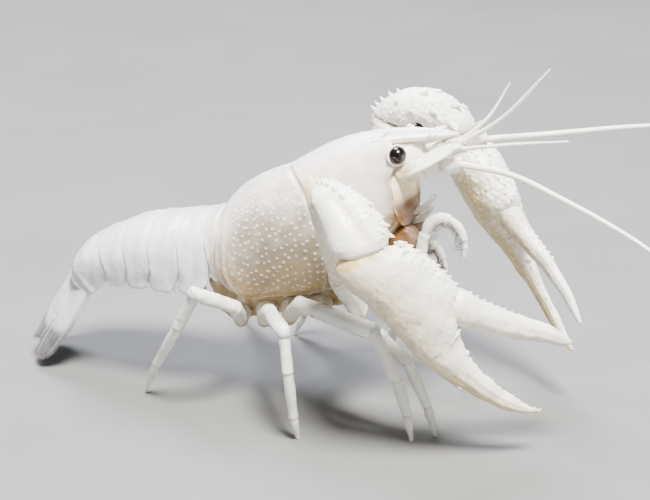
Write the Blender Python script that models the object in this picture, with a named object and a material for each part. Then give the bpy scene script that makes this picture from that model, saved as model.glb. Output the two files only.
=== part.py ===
"""Everglades crayfish, life size, as a still display model.

The animal stands on a flat floor with its head raised, both claws hanging forward and
the tail fan half closed.  Sizes are in millimetres and MM turns them into metres when a
mesh is written.  +X points to the head, +Y to the animal's left, +Z up, floor at Z = 0.
Outward distances from the midline are positive on both sides.
"""
import math
from dataclasses import dataclass

import bmesh
import bpy
import numpy as np
from mathutils import Vector

MM = 0.001
GAP = 0.3                      # clear distance between neighbouring parts
HALF_GAP = GAP / 2
MERGE = 0.004                  # points nearer than this are one
SIDES = {"right": -1.0, "left": 1.0}

# Body axis: the carapace's rear edge on the midline, and how far the head is raised
REAR_X, REAR_Z = -18.6, 35.0
BODY_PITCH = 20.0


@dataclass(frozen=True)
class Section:
    """Cross-section of the carapace, measured along and across the body axis."""
    along: float               # forward of the rear edge
    back: float                # height of the back
    half_width: float
    belly: float               # height of the lower edge


CARAPACE = (
    Section(HALF_GAP, 0.1, 8.7, -12.2),      # rear edge
    Section(2.0, 1.6, 9.6, -14.6),
    Section(7.0, 3.6, 10.6, -16.2),          # gill chambers
    Section(14.6, 4.6, 10.9, -17.2),         # cervical groove on the back
    Section(20.0, 5.8, 10.2, -17.1),
    Section(25.0, 6.6, 9.1, -15.0),          # stomach region
    Section(30.0, 6.5, 7.7, -11.6),
    Section(33.0, 5.9, 6.7, -9.6),           # front edge below the eyes
)
CARAPACE_STATIONS = 19
CARAPACE_POINTS = 28
CARAPACE_WAIST = 0.46          # height of the widest line, as a share of the depth
GROOVE_ALONG = 14.6
GROOVE_SWEEP = 6.4             # how far the groove runs forward on the flanks
GROOVE_REACH = 7.0
GROOVE_DEPTH = 0.55
GROOVE_HALF_WIDTH = 1.1
CERVICAL_SPINE = (22.3, 9.6, -3.2)

# Rostrum: the beak between the eyes, in body coordinates
ROSTRUM_START, ROSTRUM_SHOULDER, ROSTRUM_TIP = 27.5, 42.5, 46.2
ROSTRUM_HALF_WIDTH, ROSTRUM_SHOULDER_WIDTH = 4.1, 2.2
ROSTRUM_BACK, ROSTRUM_TIP_BACK = 6.6, 2.6
ROSTRUM_TROUGH = 0.7
ROSTRUM_DEPTH = 1.9

# Head front, mouth and breast plate, in body coordinates
HEAD_START = 33.0
HEAD_FRONT = 16.6              # forward place of the head's upright front face
HEAD_FRONT_HALF_WIDTH = 2.6    # of its middle, between two faces that slope back
HEAD_FRONT_SLOPE = 0.54
HEAD_HALF_WIDTH = 6.6
HEAD_TOP, HEAD_BOTTOM = 0.6, -10.6
MANDIBLE_CENTRE = (31.0, 2.6, -13.6)
MANDIBLE_HALF = (2.9, 2.2, 1.75)
MANDIBLE_SLOPE = 0.5           # rise from its middle to its front end
STERNUM_START, STERNUM_END = -5.4, 23.6
STERNUM_HALF_WIDTH = 6.4
STERNUM_SIDE_LEAN = 2.2        # how far its slanted sides come in
STERNUM_SIDE_DEPTH = 3.6
STERNUM_EDGE, STERNUM_EDGE_SLOPE = -16.7, -0.085
STERNUM_STATIONS = (STERNUM_START, -2.6, -0.2, 1.0, 2.0, 3.5, 5.5, 8.0, 11.5, 15.5, 19.5, STERNUM_END)
STERNUM_REAR_TOP = -12.6       # height of the wall behind the carapace

# Eyes, in body coordinates
EYE_CENTRE = (36.5, 5.5, 2.6)
EYE_RADIUS = 1.55
EYE_CUT = -0.35                # plane where the cornea meets its stalk, from the centre
STALK_ROOT = (33.0, 4.3, 1.9)
STALK_RADIUS = 1.3


@dataclass(frozen=True)
class Somite:
    """One ring of the abdomen."""
    length: float              # along the back
    heading: float             # degrees below the horizontal, toward the tail
    half_width: float
    depth: float               # from the back to the tip of the side plate
    swimmeret: float           # length of its swimmerets


ABDOMEN = (
    Somite(3.6, 18.0, 8.5, 11.0, 0.0),
    Somite(7.0, 12.0, 9.3, 13.0, 5.0),
    Somite(6.5, 13.5, 9.3, 12.0, 5.2),
    Somite(6.2, 24.0, 8.8, 10.7, 4.8),
    Somite(6.0, 30.5, 8.0, 9.2, 4.2),
    Somite(6.8, 53.0, 6.9, 7.6, 0.0),
)
PLEURON_NOTCH = 0.2            # share of the depth missing between two side plates
PLEURON_THICKNESS = 0.9
BELLY_RISE = 3.6               # belly above the tips of the side plates
LAST_BELLY_RISE = 1.0          # the same on the ring that carries the tail fan
TERGITE_STEP = 0.4             # front edge of a ring under the ring before it

# Tail fan: nested plates, each on an oval arc about the same axis
FAN_HEADING = 58.5
FAN_ROLL = 10.0                # degrees that the fan hangs over to the right
FAN_THICKNESS = 0.7
FAN_AXIS_DEPTH = 7.0           # below the back of the last ring
FAN_ARC = (8.4, 6.0)           # half width and height of the middle plate's arc
FAN_LAYER = 1.25               # from one plate to the next one under it
FAN_SPREAD = 0.24              # growth of the arcs toward the tips
BLADE_ROWS, BLADE_COLUMNS = 10, 7
BLADE_RIDGE = 0.12
BLADE_ROUNDING = 0.11


@dataclass(frozen=True)
class Blade:
    """One plate of the tail fan."""
    layer: int                 # 0 for the uppermost
    start: float               # degrees round the arc to its inner edge
    end: float                 # degrees round the arc to its outer edge
    length: float
    shares: tuple              # of its width at the root, the middle and the tip


TELSON = Blade(0, -33.0, 33.0, 17.4, (0.8, 1.0, 0.7))
UROPODS = {
    "right": {"inner": Blade(1, 3.0, 72.0, 17.6, (0.5, 1.0, 0.66)),
              "outer": Blade(2, 8.0, 78.0, 16.2, (0.45, 1.0, 0.55))},
    "left": {"inner": Blade(1, 4.0, 60.0, 17.6, (0.5, 1.0, 0.66)),
             "outer": Blade(2, 5.0, 62.0, 16.2, (0.5, 1.0, 0.55))},
}


@dataclass(frozen=True)
class Leg:
    """Joints of a walking leg: forward, outward and up; the hip is on the breast plate."""
    hip: float                 # along the body axis
    ischium: tuple
    knee: tuple
    ankle: tuple
    toe: tuple
    foot: tuple
    pincer: bool


LEGS = {
    "right": {
        2: Leg(13.6, (3.8, 8.6, 19.9), (14.5, 11.7, 18.8), (19.2, 12.3, 15.2),
               (22.4, 10.6, 6.4), (23.6, 9.2, 0.0), True),
        3: Leg(8.3, (-1.0, 10.3, 22.4), (14.0, 15.2, 21.6), (17.9, 14.4, 12.6),
               (19.6, 13.2, 5.6), (20.3, 12.4, 0.0), True),
        4: Leg(3.3, (-7.0, 10.2, 20.0), (-0.9, 19.0, 20.5), (0.1, 20.0, 13.6),
               (0.7, 18.9, 4.6), (1.2, 18.0, 0.0), False),
        5: Leg(-2.0, (-14.7, 10.4, 20.4), (-18.6, 16.5, 24.3), (-22.4, 15.0, 16.7),
               (-28.2, 12.0, 7.2), (-31.6, 10.0, 0.0), False),
    },
    "left": {
        2: Leg(13.6, (3.8, 8.6, 19.9), (15.6, 13.0, 18.6), (20.0, 13.0, 13.6),
               (22.3, 11.2, 5.6), (22.9, 10.2, 0.0), True),
        3: Leg(8.3, (-1.0, 10.3, 22.4), (9.6, 17.6, 20.4), (9.4, 20.2, 12.4),
               (6.9, 21.6, 5.0), (5.4, 22.2, 0.0), True),
        4: Leg(3.3, (-7.0, 10.2, 20.0), (-4.4, 19.4, 20.2), (-7.4, 21.4, 14.2),
               (-12.0, 22.4, 5.0), (-14.2, 22.8, 0.0), False),
        5: Leg(-2.0, (-14.7, 10.4, 20.4), (-18.6, 17.6, 23.4), (-20.4, 20.6, 16.4),
               (-23.6, 23.4, 6.4), (-25.6, 25.0, 0.0), False),
    },
}
LEG_SIDES = 8
# Half sizes at the start, middle and end of each stretch of a leg
COXA_RADII = (2.3, 2.2, 2.1)
ISCHIUM_RADII = (1.8, 1.75, 1.7)
MERUS_RADII = (1.45, 1.6, 1.7)
CARPUS_RADII = (1.2, 1.4, 1.6)
PROPODUS_RADII = (1.3, 1.35, 1.1)
DACTYL_RADII = (0.95, 0.75, 0.48)
LEG_FLATNESS = 0.88
COXA_LENGTH = 2.0


@dataclass(frozen=True)
class Cheliped:
    """Joints of a claw arm: forward, outward and up, with the hand's own axes."""
    hip: float
    ischium: tuple
    elbow: tuple
    crown: tuple               # point that the wrist piece arches toward
    wrist: tuple               # origin of the hand's axes
    tip: tuple                 # tip of the fixed finger
    face: tuple                # outer face of the hand, outward positive
    gape: float                # degrees between the movable finger and the hand's axis


CHELIPEDS = {
    "right": Cheliped(20.8, (6.7, 11.8, 28.9), (6.6, 20.0, 46.6), (11.6, 21.0, 44.2),
                      (17.0, 22.0, 39.0), (41.7, 10.0, 8.1), (0.55, 0.83, 0.12), 28.6),
    "left": Cheliped(20.8, (6.7, 11.8, 28.9), (4.8, 20.4, 47.2), (10.6, 20.6, 53.6),
                     (20.1, 21.2, 45.4), (42.6, 10.4, 10.6), (0.686, 0.694, 0.239), 20.4),
}
HAND_LENGTH = 41.3             # wrist to tip of the fixed finger
ARM_SIDES = 12
ARM_COXA_RADII = (2.15, 2.05, 2.1)
ARM_ISCHIUM_RADII = (1.9, 2.1, 2.2)
ARM_MERUS_RADII = (2.0, 2.5, 2.9)
ARM_MERUS_FLATNESS = 0.85
WRIST_PIECE_STATIONS = (0.0, 0.12, 0.34, 0.56, 0.76, 0.91, 1.0)
WRIST_PIECE_WIDTHS = (2.6, 3.4, 4.2, 4.8, 5.1, 4.7, 3.4)
WRIST_PIECE_DEPTHS = (2.4, 3.0, 3.5, 3.8, 3.9, 3.5, 2.5)


@dataclass(frozen=True)
class Slice:
    """Cross-section of the hand: along its axis, lower and upper edge, half thickness."""
    along: float
    lower: float
    upper: float
    thick: float
    slant: float               # forward lean of the slice for each mm across


HAND = (
    Slice(-2.1, -5.1, 1.1, 2.4, 0.56),       # wrist face
    Slice(-0.9, -7.2, 2.3, 3.0, 0.45),
    Slice(1.4, -8.0, 3.5, 3.5, 0.2),         # heel of the palm
    Slice(5.0, -7.6, 4.5, 3.8, 0.0),
    Slice(10.0, -7.6, 5.0, 3.9, 0.0),
    Slice(14.5, -7.7, 4.9, 3.7, 0.0),
    Slice(18.0, -7.3, 4.3, 3.2, 0.0),
    Slice(20.0, -6.9, 0.1, 2.7, 0.0),        # crotch of the fingers
    Slice(24.0, -6.2, -0.7, 2.2, 0.0),
    Slice(29.0, -5.1, -0.8, 1.8, 0.0),
    Slice(34.0, -3.6, -0.2, 1.4, 0.0),
    Slice(38.0, -1.9, 0.4, 1.0, 0.0),
    Slice(40.4, -0.7, 0.45, 0.6, 0.0),
    Slice(41.3, -0.15, 0.25, 0.25, 0.0),     # tip
)
PALM_POINTS = 14
HINGE = (16.3, 2.6)            # root of the movable finger, along and across the hand
HINGE_FACE = ((13.7, 4.9), (19.2, 0.3))
FINGER_LENGTH = 22.4
FINGER_ROOT = -4.0             # the finger's blank starts inside the palm and is cut
FINGER_BOW = 0.8
FINGER_STATIONS = (0.0, 0.16, 0.3, 0.5, 0.7, 0.86, 0.96, 1.0)
FINGER_HALF_WIDTHS = (3.4, 3.2, 2.4, 1.9, 1.5, 1.0, 0.5, 0.2)
FINGER_THICKNESS = 0.86
TOOTH_ALONG, TOOTH_HEIGHT = 25.0, 0.8

# Tubercles of the claw arms: how many, and their size
PALM_TUBERCLES, FINGER_TUBERCLES, WRIST_TUBERCLES = 7, 6, 5
TUBERCLE_RADIUS, TUBERCLE_HEIGHT, TUBERCLE_SIDES = 0.55, 0.55, 5
WRIST_SPINE_LENGTH = 1.9

# Feelers: routes of the right and left ones, forward, outward and up
FLAGELLUM_ROUTES = {
    "right": ((25.6, 5.2, 49.5), (34.7, 7.0, 50.0), (43.8, 10.0, 47.8), (59.7, 16.0, 42.7),
              (74.0, 24.5, 36.2), (85.5, 35.5, 28.6), (92.5, 48.0, 20.0)),
    "left": ((27.4, 4.6, 51.0), (35.2, 7.2, 51.7), (53.7, 16.0, 52.7), (70.0, 26.0, 51.3),
             (83.0, 38.0, 47.0), (91.5, 51.5, 40.0)),
}
FLAGELLUM_SPLIT = 0.45
FLAGELLUM_RADII = (0.58, 0.42, 0.3, 0.25, 0.16)
FLAGELLUM_STATIONS, FLAGELLUM_SIDES = 28, 6
PEDUNCLE_ROOT = (4.3, 46.1)                  # outward and up, on the head's front
PEDUNCLE_MIDDLE = (19.8, 5.1, 48.2)
PEDUNCLE_RADII = (1.65, 1.7, 1.6, 1.45, 1.25)
SCALE_ROUTE = ((16.6, 5.2, 46.9), (20.6, 6.3, 50.2), (25.9, 6.2, 53.4))
SCALE_TILT = 0.35              # drop of its outer edge for each mm outward
SCALE_HALF_WIDTHS = (0.9, 1.5, 1.9, 1.85, 1.5, 0.35)
SCALE_THICKNESS = 0.7
ANTENNULE_ROOT = (1.5, 47.0)                 # outward and up, on the head's front
ANTENNULE_END = (46.6, 1.35, 0.6)            # body coordinates
ANTENNULE_RADII = (1.05, 1.1, 0.95, 0.8)
ANTENNULE_TIPS = {
    "right": ((43.4, 3.2, 54.8), (37.7, 0.8, 64.2)),
    "left": ((38.4, 3.4, 64.8), (31.4, 4.6, 61.4)),
}
ANTENNULE_SAG = 1.2
ANTENNULE_FLAGELLUM_RADII = (0.36, 0.3, 0.2)

# Third maxillipeds: routes forward, outward and up, from the front of the breast plate
MAXILLIPED_ROUTES = {
    "right": ((15.2, 3.2, 28.0), (18.5, 3.8, 31.2), (19.4, 4.0, 35.2), (20.7, 4.1, 38.2),
              (22.6, 4.1, 39.2), (24.7, 4.0, 38.4), (26.3, 3.8, 36.0), (26.6, 3.6, 33.6),
              (26.2, 3.4, 31.4)),
    "left": ((14.4, 2.7, 28.0), (16.9, 2.6, 30.4), (18.8, 2.5, 31.4), (20.2, 2.4, 30.6),
             (21.3, 2.2, 28.8), (22.0, 2.0, 26.8)),
}
MAXILLIPED_RADII = (1.45, 1.3, 1.05, 0.95, 0.75, 0.35)
MAXILLIPED_STATIONS, MAXILLIPED_SIDES = 17, 8


@dataclass(frozen=True)
class Finish:
    """Colour and gloss of one kind of surface."""
    name: str
    colour: tuple
    roughness: float


SHELL = Finish("shell", (0.86, 0.84, 0.83), 0.42)
CLAW = Finish("claw", (0.93, 0.92, 0.88), 0.4)
TAIL = Finish("tail", (0.84, 0.84, 0.86), 0.42)
FEELER = Finish("feeler", (0.92, 0.92, 0.88), 0.45)
MEMBRANE = Finish("membrane", (0.78, 0.7, 0.56), 0.5)
MANDIBLE = Finish("mandible", (0.58, 0.4, 0.2), 0.45)
CORNEA = Finish("cornea", (0.015, 0.013, 0.015), 0.12)


def unit(vector):
    """Vector of length one."""
    vector = np.asarray(vector, float)
    return vector / np.linalg.norm(vector)


def body(along, out, height, side=1.0):
    """World point of a place given along, out from and above the body axis."""
    pitch = math.radians(BODY_PITCH)
    return np.array([REAR_X + along * math.cos(pitch) - height * math.sin(pitch),
                     side * out,
                     REAR_Z + along * math.sin(pitch) + height * math.cos(pitch)])


def body_direction(along, out, height, side=1.0):
    """World direction of one given in body coordinates."""
    return unit(body(along, out, height, side) - body(0, 0, 0))


def outward(point, side):
    """World point from forward, outward and up."""
    return np.array([point[0], side * point[1], point[2]])


def signed_power(value, power):
    """Power of a number that keeps its sign."""
    return math.copysign(abs(value) ** power, value)


def hermite(knots, values, at):
    """Smooth curve through values at rising knots."""
    knots, values = np.asarray(knots, float), np.asarray(values, float)
    slopes = np.gradient(values, knots, axis=0)
    k = int(np.clip(np.searchsorted(knots, at) - 1, 0, len(knots) - 2))
    span = knots[k + 1] - knots[k]
    t = (at - knots[k]) / span
    return ((2 * t ** 3 - 3 * t ** 2 + 1) * values[k] + (t ** 3 - 2 * t ** 2 + t) * span * slopes[k]
            + (3 * t ** 2 - 2 * t ** 3) * values[k + 1] + (t ** 3 - t ** 2) * span * slopes[k + 1])


def smooth_route(points, count):
    """Points spread evenly by parameter on a smooth curve through a hand-made route."""
    points = np.asarray(points, float)
    steps = np.linalg.norm(np.diff(points, axis=0), axis=1)
    knots = np.concatenate([[0], np.cumsum(steps)])
    return [hermite(knots, points, at) for at in np.linspace(0, knots[-1], count)]


def mesh_object(name, vertices, faces):
    """Object with a triangulated mesh whose faces point outward."""
    mesh = bpy.data.meshes.new(name)
    mesh.from_pydata([Vector(v) * MM for v in vertices], [], faces)
    work = bmesh.new()
    work.from_mesh(mesh)
    bmesh.ops.remove_doubles(work, verts=work.verts, dist=MERGE * MM)
    bmesh.ops.triangulate(work, faces=work.faces)
    bmesh.ops.recalc_face_normals(work, faces=work.faces)
    work.to_mesh(mesh)
    work.free()
    item = bpy.data.objects.new(name, mesh)
    bpy.context.collection.objects.link(item)
    return item


def loft(name, rings):
    """Closed solid through rings of equal count, with a flat face over each end."""
    count = len(rings[0])
    vertices = [tuple(p) for ring in rings for p in ring]
    faces = []
    for row in range(len(rings) - 1):
        for col in range(count):
            near, far = row * count + col, row * count + (col + 1) % count
            faces += [(near, far, far + count), (near, far + count, near + count)]
    top = (len(rings) - 1) * count
    faces += [tuple(reversed(range(count))), tuple(range(top, top + count))]
    return mesh_object(name, vertices, faces)


def ellipse(centre, across, up, half_across, half_up, count, squareness=2.0):
    """Ring of points; a squareness over two makes its corners fuller."""
    points = []
    for k in range(count):
        angle = 2 * math.pi * (k + 0.5) / count
        points.append(centre + across * half_across * signed_power(math.cos(angle), 2 / squareness)
                      + up * half_up * signed_power(math.sin(angle), 2 / squareness))
    return np.array(points)


def is_closed(mesh):
    """Whether every edge of the mesh joins two faces."""
    work = bmesh.new()
    work.from_mesh(mesh)
    closed = bool(work.edges) and all(len(edge.link_faces) == 2 for edge in work.edges)
    work.free()
    return closed


def keep_largest(mesh):
    """Drop every closed surface of the mesh but the largest, and its slivers."""
    work = bmesh.new()
    work.from_mesh(mesh)
    bmesh.ops.remove_doubles(work, verts=work.verts, dist=MERGE * MM)
    bmesh.ops.dissolve_degenerate(work, edges=work.edges, dist=MERGE * MM)
    remaining, shells = set(work.faces), []
    while remaining:
        stack, shell = [remaining.pop()], []
        while stack:
            face = stack.pop()
            shell.append(face)
            for edge in face.edges:
                for other in edge.link_faces:
                    if other in remaining:
                        remaining.remove(other)
                        stack.append(other)
        shells.append(shell)
    shells.sort(key=len, reverse=True)
    bmesh.ops.delete(work, geom=[face for shell in shells[1:] for face in shell], context="FACES")
    bmesh.ops.triangulate(work, faces=work.faces)
    work.to_mesh(mesh)
    work.free()


def boolean(item, others, operation):
    """Apply one Boolean between the object and a collection, then remove the others."""
    group = bpy.data.collections.new("pieces")
    bpy.context.scene.collection.children.link(group)
    for other in others:
        bpy.context.collection.objects.unlink(other)
        group.objects.link(other)
    modifier = item.modifiers.new("join", "BOOLEAN")
    modifier.operation = operation
    modifier.operand_type = "COLLECTION"
    modifier.collection = group
    for solver in ("EXACT", "MANIFOLD"):
        modifier.solver = solver
        bpy.context.view_layer.update()
        graph = bpy.context.evaluated_depsgraph_get()
        result = bpy.data.meshes.new_from_object(item.evaluated_get(graph))
        keep_largest(result)
        if is_closed(result):
            break
    item.modifiers.clear()
    item.data = result
    for other in others:
        bpy.data.objects.remove(other)
    bpy.data.collections.remove(group)
    return item


def part_by_plane(item, point, normal):
    """Cut away what lies on the side of the plane that the normal points to."""
    work = bmesh.new()
    work.from_mesh(item.data)
    geometry = work.verts[:] + work.edges[:] + work.faces[:]
    cut = bmesh.ops.bisect_plane(work, geom=geometry, plane_co=Vector(point) * MM,
                                 plane_no=Vector(normal), clear_outer=True)
    rim = [g for g in cut["geom_cut"] if isinstance(g, bmesh.types.BMEdge)]
    bmesh.ops.edgenet_fill(work, edges=rim)
    bmesh.ops.triangulate(work, faces=work.faces)
    bmesh.ops.recalc_face_normals(work, faces=work.faces)
    work.to_mesh(item.data)
    work.free()
    return item


def cone(base, direction, radius, height, sides=TUBERCLE_SIDES, sink=0.5):
    """Tapered spine or tubercle with its root sunk in what carries it."""
    direction = unit(direction)
    across = unit(np.cross(direction, (0.31, 0.52, 0.79)))
    up = np.cross(direction, across)
    rings = [ellipse(base - direction * sink, across, up, radius, radius, sides),
             ellipse(base + direction * height * 0.45, across, up, radius * 0.72, radius * 0.72, sides),
             ellipse(base + direction * height, across, up, radius * 0.16, radius * 0.16, sides)]
    return loft("spine", rings)


def limb(name, joints, radii, start_normal, end_normal, sides, flatness=1.0):
    """Jointed limb as one solid: each stretch swells, and each joint is a waist.

    The first and last ring lie in the given planes, so that two limbs meet face to face.
    """
    joints = [np.asarray(j, float) for j in joints]
    axes = [unit(b - a) for a, b in zip(joints, joints[1:])]
    planes = [unit(start_normal)]
    planes += [unit(a + b) for a, b in zip(axes, axes[1:])]
    planes += [unit(end_normal)]
    chord = unit(joints[-1] - joints[0])
    bend = sum((np.cross(a, b) for a, b in zip(axes, axes[1:])), np.zeros(3))
    if np.linalg.norm(bend) < 0.05:
        bend = np.cross(chord, (0.2, 0.1, 1.0))
    rings = []
    for k, axis in enumerate(axes):
        across = unit(bend - axis * (bend @ axis))
        up = np.cross(axis, across)
        base, middle, end = radii[k]
        last = k == len(axes) - 1
        waist = end if last else 0.86 * min(end, radii[k + 1][0])
        stations = [(0.0, base)] if k == 0 else []
        stations += [(0.16, base), (0.5, middle), (0.84, end), (1.0, waist)]
        for t, radius in stations:
            centre = joints[k] + (joints[k + 1] - joints[k]) * t
            ring = ellipse(np.zeros(3), across, up, radius * flatness, radius, sides)
            lean = np.zeros(sides)
            for plane, weight in ((planes[k], (1 - t) ** 3), (planes[k + 1], t ** 3)):
                lean -= weight * (ring @ plane) / (axis @ plane)
            rings.append(centre + ring + lean[:, None] * axis)
    return loft(name, rings)


def tapered_tube(name, points, radii, sides, flatness=1.0, start_normal=None, end_normal=None):
    """Closed tube along a route, with radii spread evenly over its length.

    A normal given for an end lays its ring in that plane, to meet the part it joins.
    """
    points = np.asarray(points, float)
    places = np.linspace(0, 1, len(radii))
    last = len(points) - 1
    rings = []
    across = None
    for k, point in enumerate(points):
        axis = unit(points[min(k + 1, last)] - points[max(k - 1, 0)])
        if across is None:
            across = unit(np.cross(axis, (0.0, 0.0, 1.0)))
        else:
            across = unit(across - axis * (across @ axis))
        up = np.cross(axis, across)
        radius = np.interp(k / last, places, radii)
        ring = ellipse(np.zeros(3), across, up, radius * flatness, radius, sides)
        for plane, share in ((start_normal, 1 - 2 * k), (end_normal, 1 - 2 * (last - k))):
            if plane is not None and share > 0:
                ring = ring - np.outer((ring @ unit(plane)) / (axis @ unit(plane)), axis)
        rings.append(point + ring)
    return loft(name, rings)


def carapace_values(along):
    """Back, half width and lower edge of the carapace at a place along it."""
    table = np.array([(s.back, s.half_width, s.belly) for s in CARAPACE])
    return hermite([s.along for s in CARAPACE], table, along)


def carapace_ring(along, count):
    """Cross-section of the carapace, bent along the cervical groove."""
    back, half, belly = carapace_values(along)
    waist = belly + CARAPACE_WAIST * (back - belly)
    fade = math.exp(-((along - GROOVE_ALONG) / GROOVE_REACH) ** 2)
    fade *= min(1.0, max(0.0, along / GROOVE_ALONG)) ** 0.5
    groove = math.exp(-((along - GROOVE_ALONG) / GROOVE_HALF_WIDTH) ** 2)
    points = []
    for k in range(count):
        angle = 2 * math.pi * (k + 0.5) / count - math.pi / 2
        flank, rise = math.cos(angle), math.sin(angle)
        squareness = 2.15 if rise > 0 else 2.9
        depth = back - waist if rise > 0 else waist - belly
        out = half * signed_power(flank, 2 / squareness)
        height = waist + depth * signed_power(rise, 2 / squareness)
        sweep = GROOVE_SWEEP * fade * abs(flank) ** 1.3 * (1.0 if rise > 0 else 1 + 0.35 * rise)
        inward = GROOVE_DEPTH * groove if rise > -0.85 else 0.0
        middle = np.array([0.0, waist])
        pull = unit(np.array([out, height]) - middle) * inward
        points.append(body(along + sweep, out - pull[0], height - pull[1]))
    return np.array(points)


def carapace_stations():
    """Places of the carapace's rings, closer together at the cervical groove."""
    first, last = CARAPACE[0].along, CARAPACE[-1].along - HALF_GAP
    groove = [GROOVE_ALONG - 1.3, GROOVE_ALONG, GROOVE_ALONG + 1.3]
    plain = [a for a in np.linspace(first, last, CARAPACE_STATIONS)
             if abs(a - GROOVE_ALONG) > 1.9]
    return sorted(plain + groove)


def rostrum_piece():
    """Beak with raised edges, a shallow trough between them and a sharp tip."""
    rings = []
    for k in range(9):
        t = k / 8
        along = ROSTRUM_START + (ROSTRUM_TIP - ROSTRUM_START) * t
        before = min(1.0, (along - ROSTRUM_START) / (ROSTRUM_SHOULDER - ROSTRUM_START))
        half = ROSTRUM_HALF_WIDTH + (ROSTRUM_SHOULDER_WIDTH - ROSTRUM_HALF_WIDTH) * before ** 1.4
        if along > ROSTRUM_SHOULDER:
            half *= max(0.1, (ROSTRUM_TIP - along) / (ROSTRUM_TIP - ROSTRUM_SHOULDER))
        top = ROSTRUM_BACK + (ROSTRUM_TIP_BACK - ROSTRUM_BACK) * t ** 1.5
        share = half / ROSTRUM_HALF_WIDTH
        trough, depth = ROSTRUM_TROUGH * share, ROSTRUM_DEPTH * (0.35 + 0.65 * share)
        profile = ((half, 0.0), (half * 0.72, 0.25 * share), (half * 0.45, -trough), (0.0, -trough),
                   (-half * 0.45, -trough), (-half * 0.72, 0.25 * share), (-half, 0.0),
                   (-half * 0.8, -depth * 0.6), (0.0, -depth), (half * 0.8, -depth * 0.6))
        rings.append(np.array([body(along, out, top + rise) for out, rise in profile]))
    return loft("rostrum", rings)


def build_carapace():
    """Shell over the head and thorax, with its beak and two side spines."""
    rings = [carapace_ring(along, CARAPACE_POINTS) for along in carapace_stations()]
    shell = loft("carapace", rings)
    pieces = [rostrum_piece()]
    for side in SIDES.values():
        along, out, height = CERVICAL_SPINE
        pieces.append(cone(body(along, out, height, side),
                           body_direction(0.75, 0.66, 0.0, side), 0.6, 1.2))
    return boolean(shell, pieces, "UNION")


def build_head():
    """Front of the head below the beak, with the upright face where the feelers start."""
    rings = []
    middle, half = (HEAD_TOP + HEAD_BOTTOM) / 2, (HEAD_TOP - HEAD_BOTTOM) / 2
    forward = body_direction(1, 0, 0)
    for t, shrink in ((0.0, 1.0), (0.35, 1.0), (0.75, 0.99), (0.93, 0.96), (1.0, 0.9)):
        start = ellipse(body(HEAD_START + GAP, 0, middle), np.array([0.0, 1.0, 0.0]),
                        body_direction(0, 0, 1), HEAD_HALF_WIDTH * shrink, half * shrink, 18, 3.2)
        reach = (HEAD_FRONT - start[:, 0]) / forward[0]
        rings.append(start + np.outer(reach * t, forward))
    head = loft("head_front", rings)
    for side in SIDES.values():
        head = part_by_plane(head, (HEAD_FRONT, side * HEAD_FRONT_HALF_WIDTH, 0), face_normal(side))
    return head


def face_normal(side):
    """Direction that the sloping side of the head's front faces."""
    return unit((1.0, side * HEAD_FRONT_SLOPE, 0.0))


def face_point(out, up, side):
    """Place just off the head's front face, from outward and up."""
    if out < HEAD_FRONT_HALF_WIDTH:
        return np.array([HEAD_FRONT + GAP, side * out, up])
    forward = HEAD_FRONT - HEAD_FRONT_SLOPE * (out - HEAD_FRONT_HALF_WIDTH)
    return np.array([forward, side * out, up]) + face_normal(side) * GAP


def build_mandible(side_name):
    """Strong jaw half below the front of the head."""
    along, out, height = MANDIBLE_CENTRE
    half_along, half_out, half_height = MANDIBLE_HALF
    rings = []
    for t in (-0.98, -0.75, -0.3, 0.3, 0.75, 0.98):
        round_off = math.sqrt(1 - t ** 2)
        centre = body(along + half_along * t, out, height + MANDIBLE_SLOPE * t, SIDES[side_name])
        rings.append(ellipse(centre, np.array([0.0, 1.0, 0.0]), body_direction(0, 0, 1),
                             half_out * round_off, half_height * round_off, 12, 2.4))
    return loft(f"mandible_{side_name}", rings)


def sternum_edge(along):
    """Height of the upper edge of the breast plate's slanted sides."""
    return STERNUM_EDGE + STERNUM_EDGE_SLOPE * along


def build_sternum():
    """Breast plate under the carapace, with flat slanted sides that carry the legs."""
    rings = []
    for along in STERNUM_STATIONS:
        edge = sternum_edge(along)
        low = edge - STERNUM_SIDE_DEPTH
        wide, narrow = STERNUM_HALF_WIDTH, STERNUM_HALF_WIDTH - STERNUM_SIDE_LEAN
        top = STERNUM_REAR_TOP if along < 0 else carapace_values(along)[2] - 1.5 * GAP
        top = max(min(top, STERNUM_REAR_TOP), edge + 0.4)
        profile = ((wide, edge), (wide, top), (wide * 0.5, top), (-wide * 0.5, top), (-wide, top),
                   (-wide, edge), (-narrow, low), (-narrow * 0.4, low - 0.5), (0.0, low - 0.1),
                   (narrow * 0.4, low - 0.5), (narrow, low))
        rings.append(np.array([body(along, out, height) for out, height in profile]))
    return loft("breast_plate", rings)


def hip_point(along, side, distance):
    """Point on or off the breast plate's slanted side, where a leg starts."""
    out = STERNUM_HALF_WIDTH - STERNUM_SIDE_LEAN / 2
    height = sternum_edge(along) - STERNUM_SIDE_DEPTH / 2
    return body(along, out, height, side) + hip_normal(side) * distance


def hip_normal(side):
    """Direction that the breast plate's slanted side faces."""
    return body_direction(0, STERNUM_SIDE_DEPTH, -STERNUM_SIDE_LEAN, side)


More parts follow.
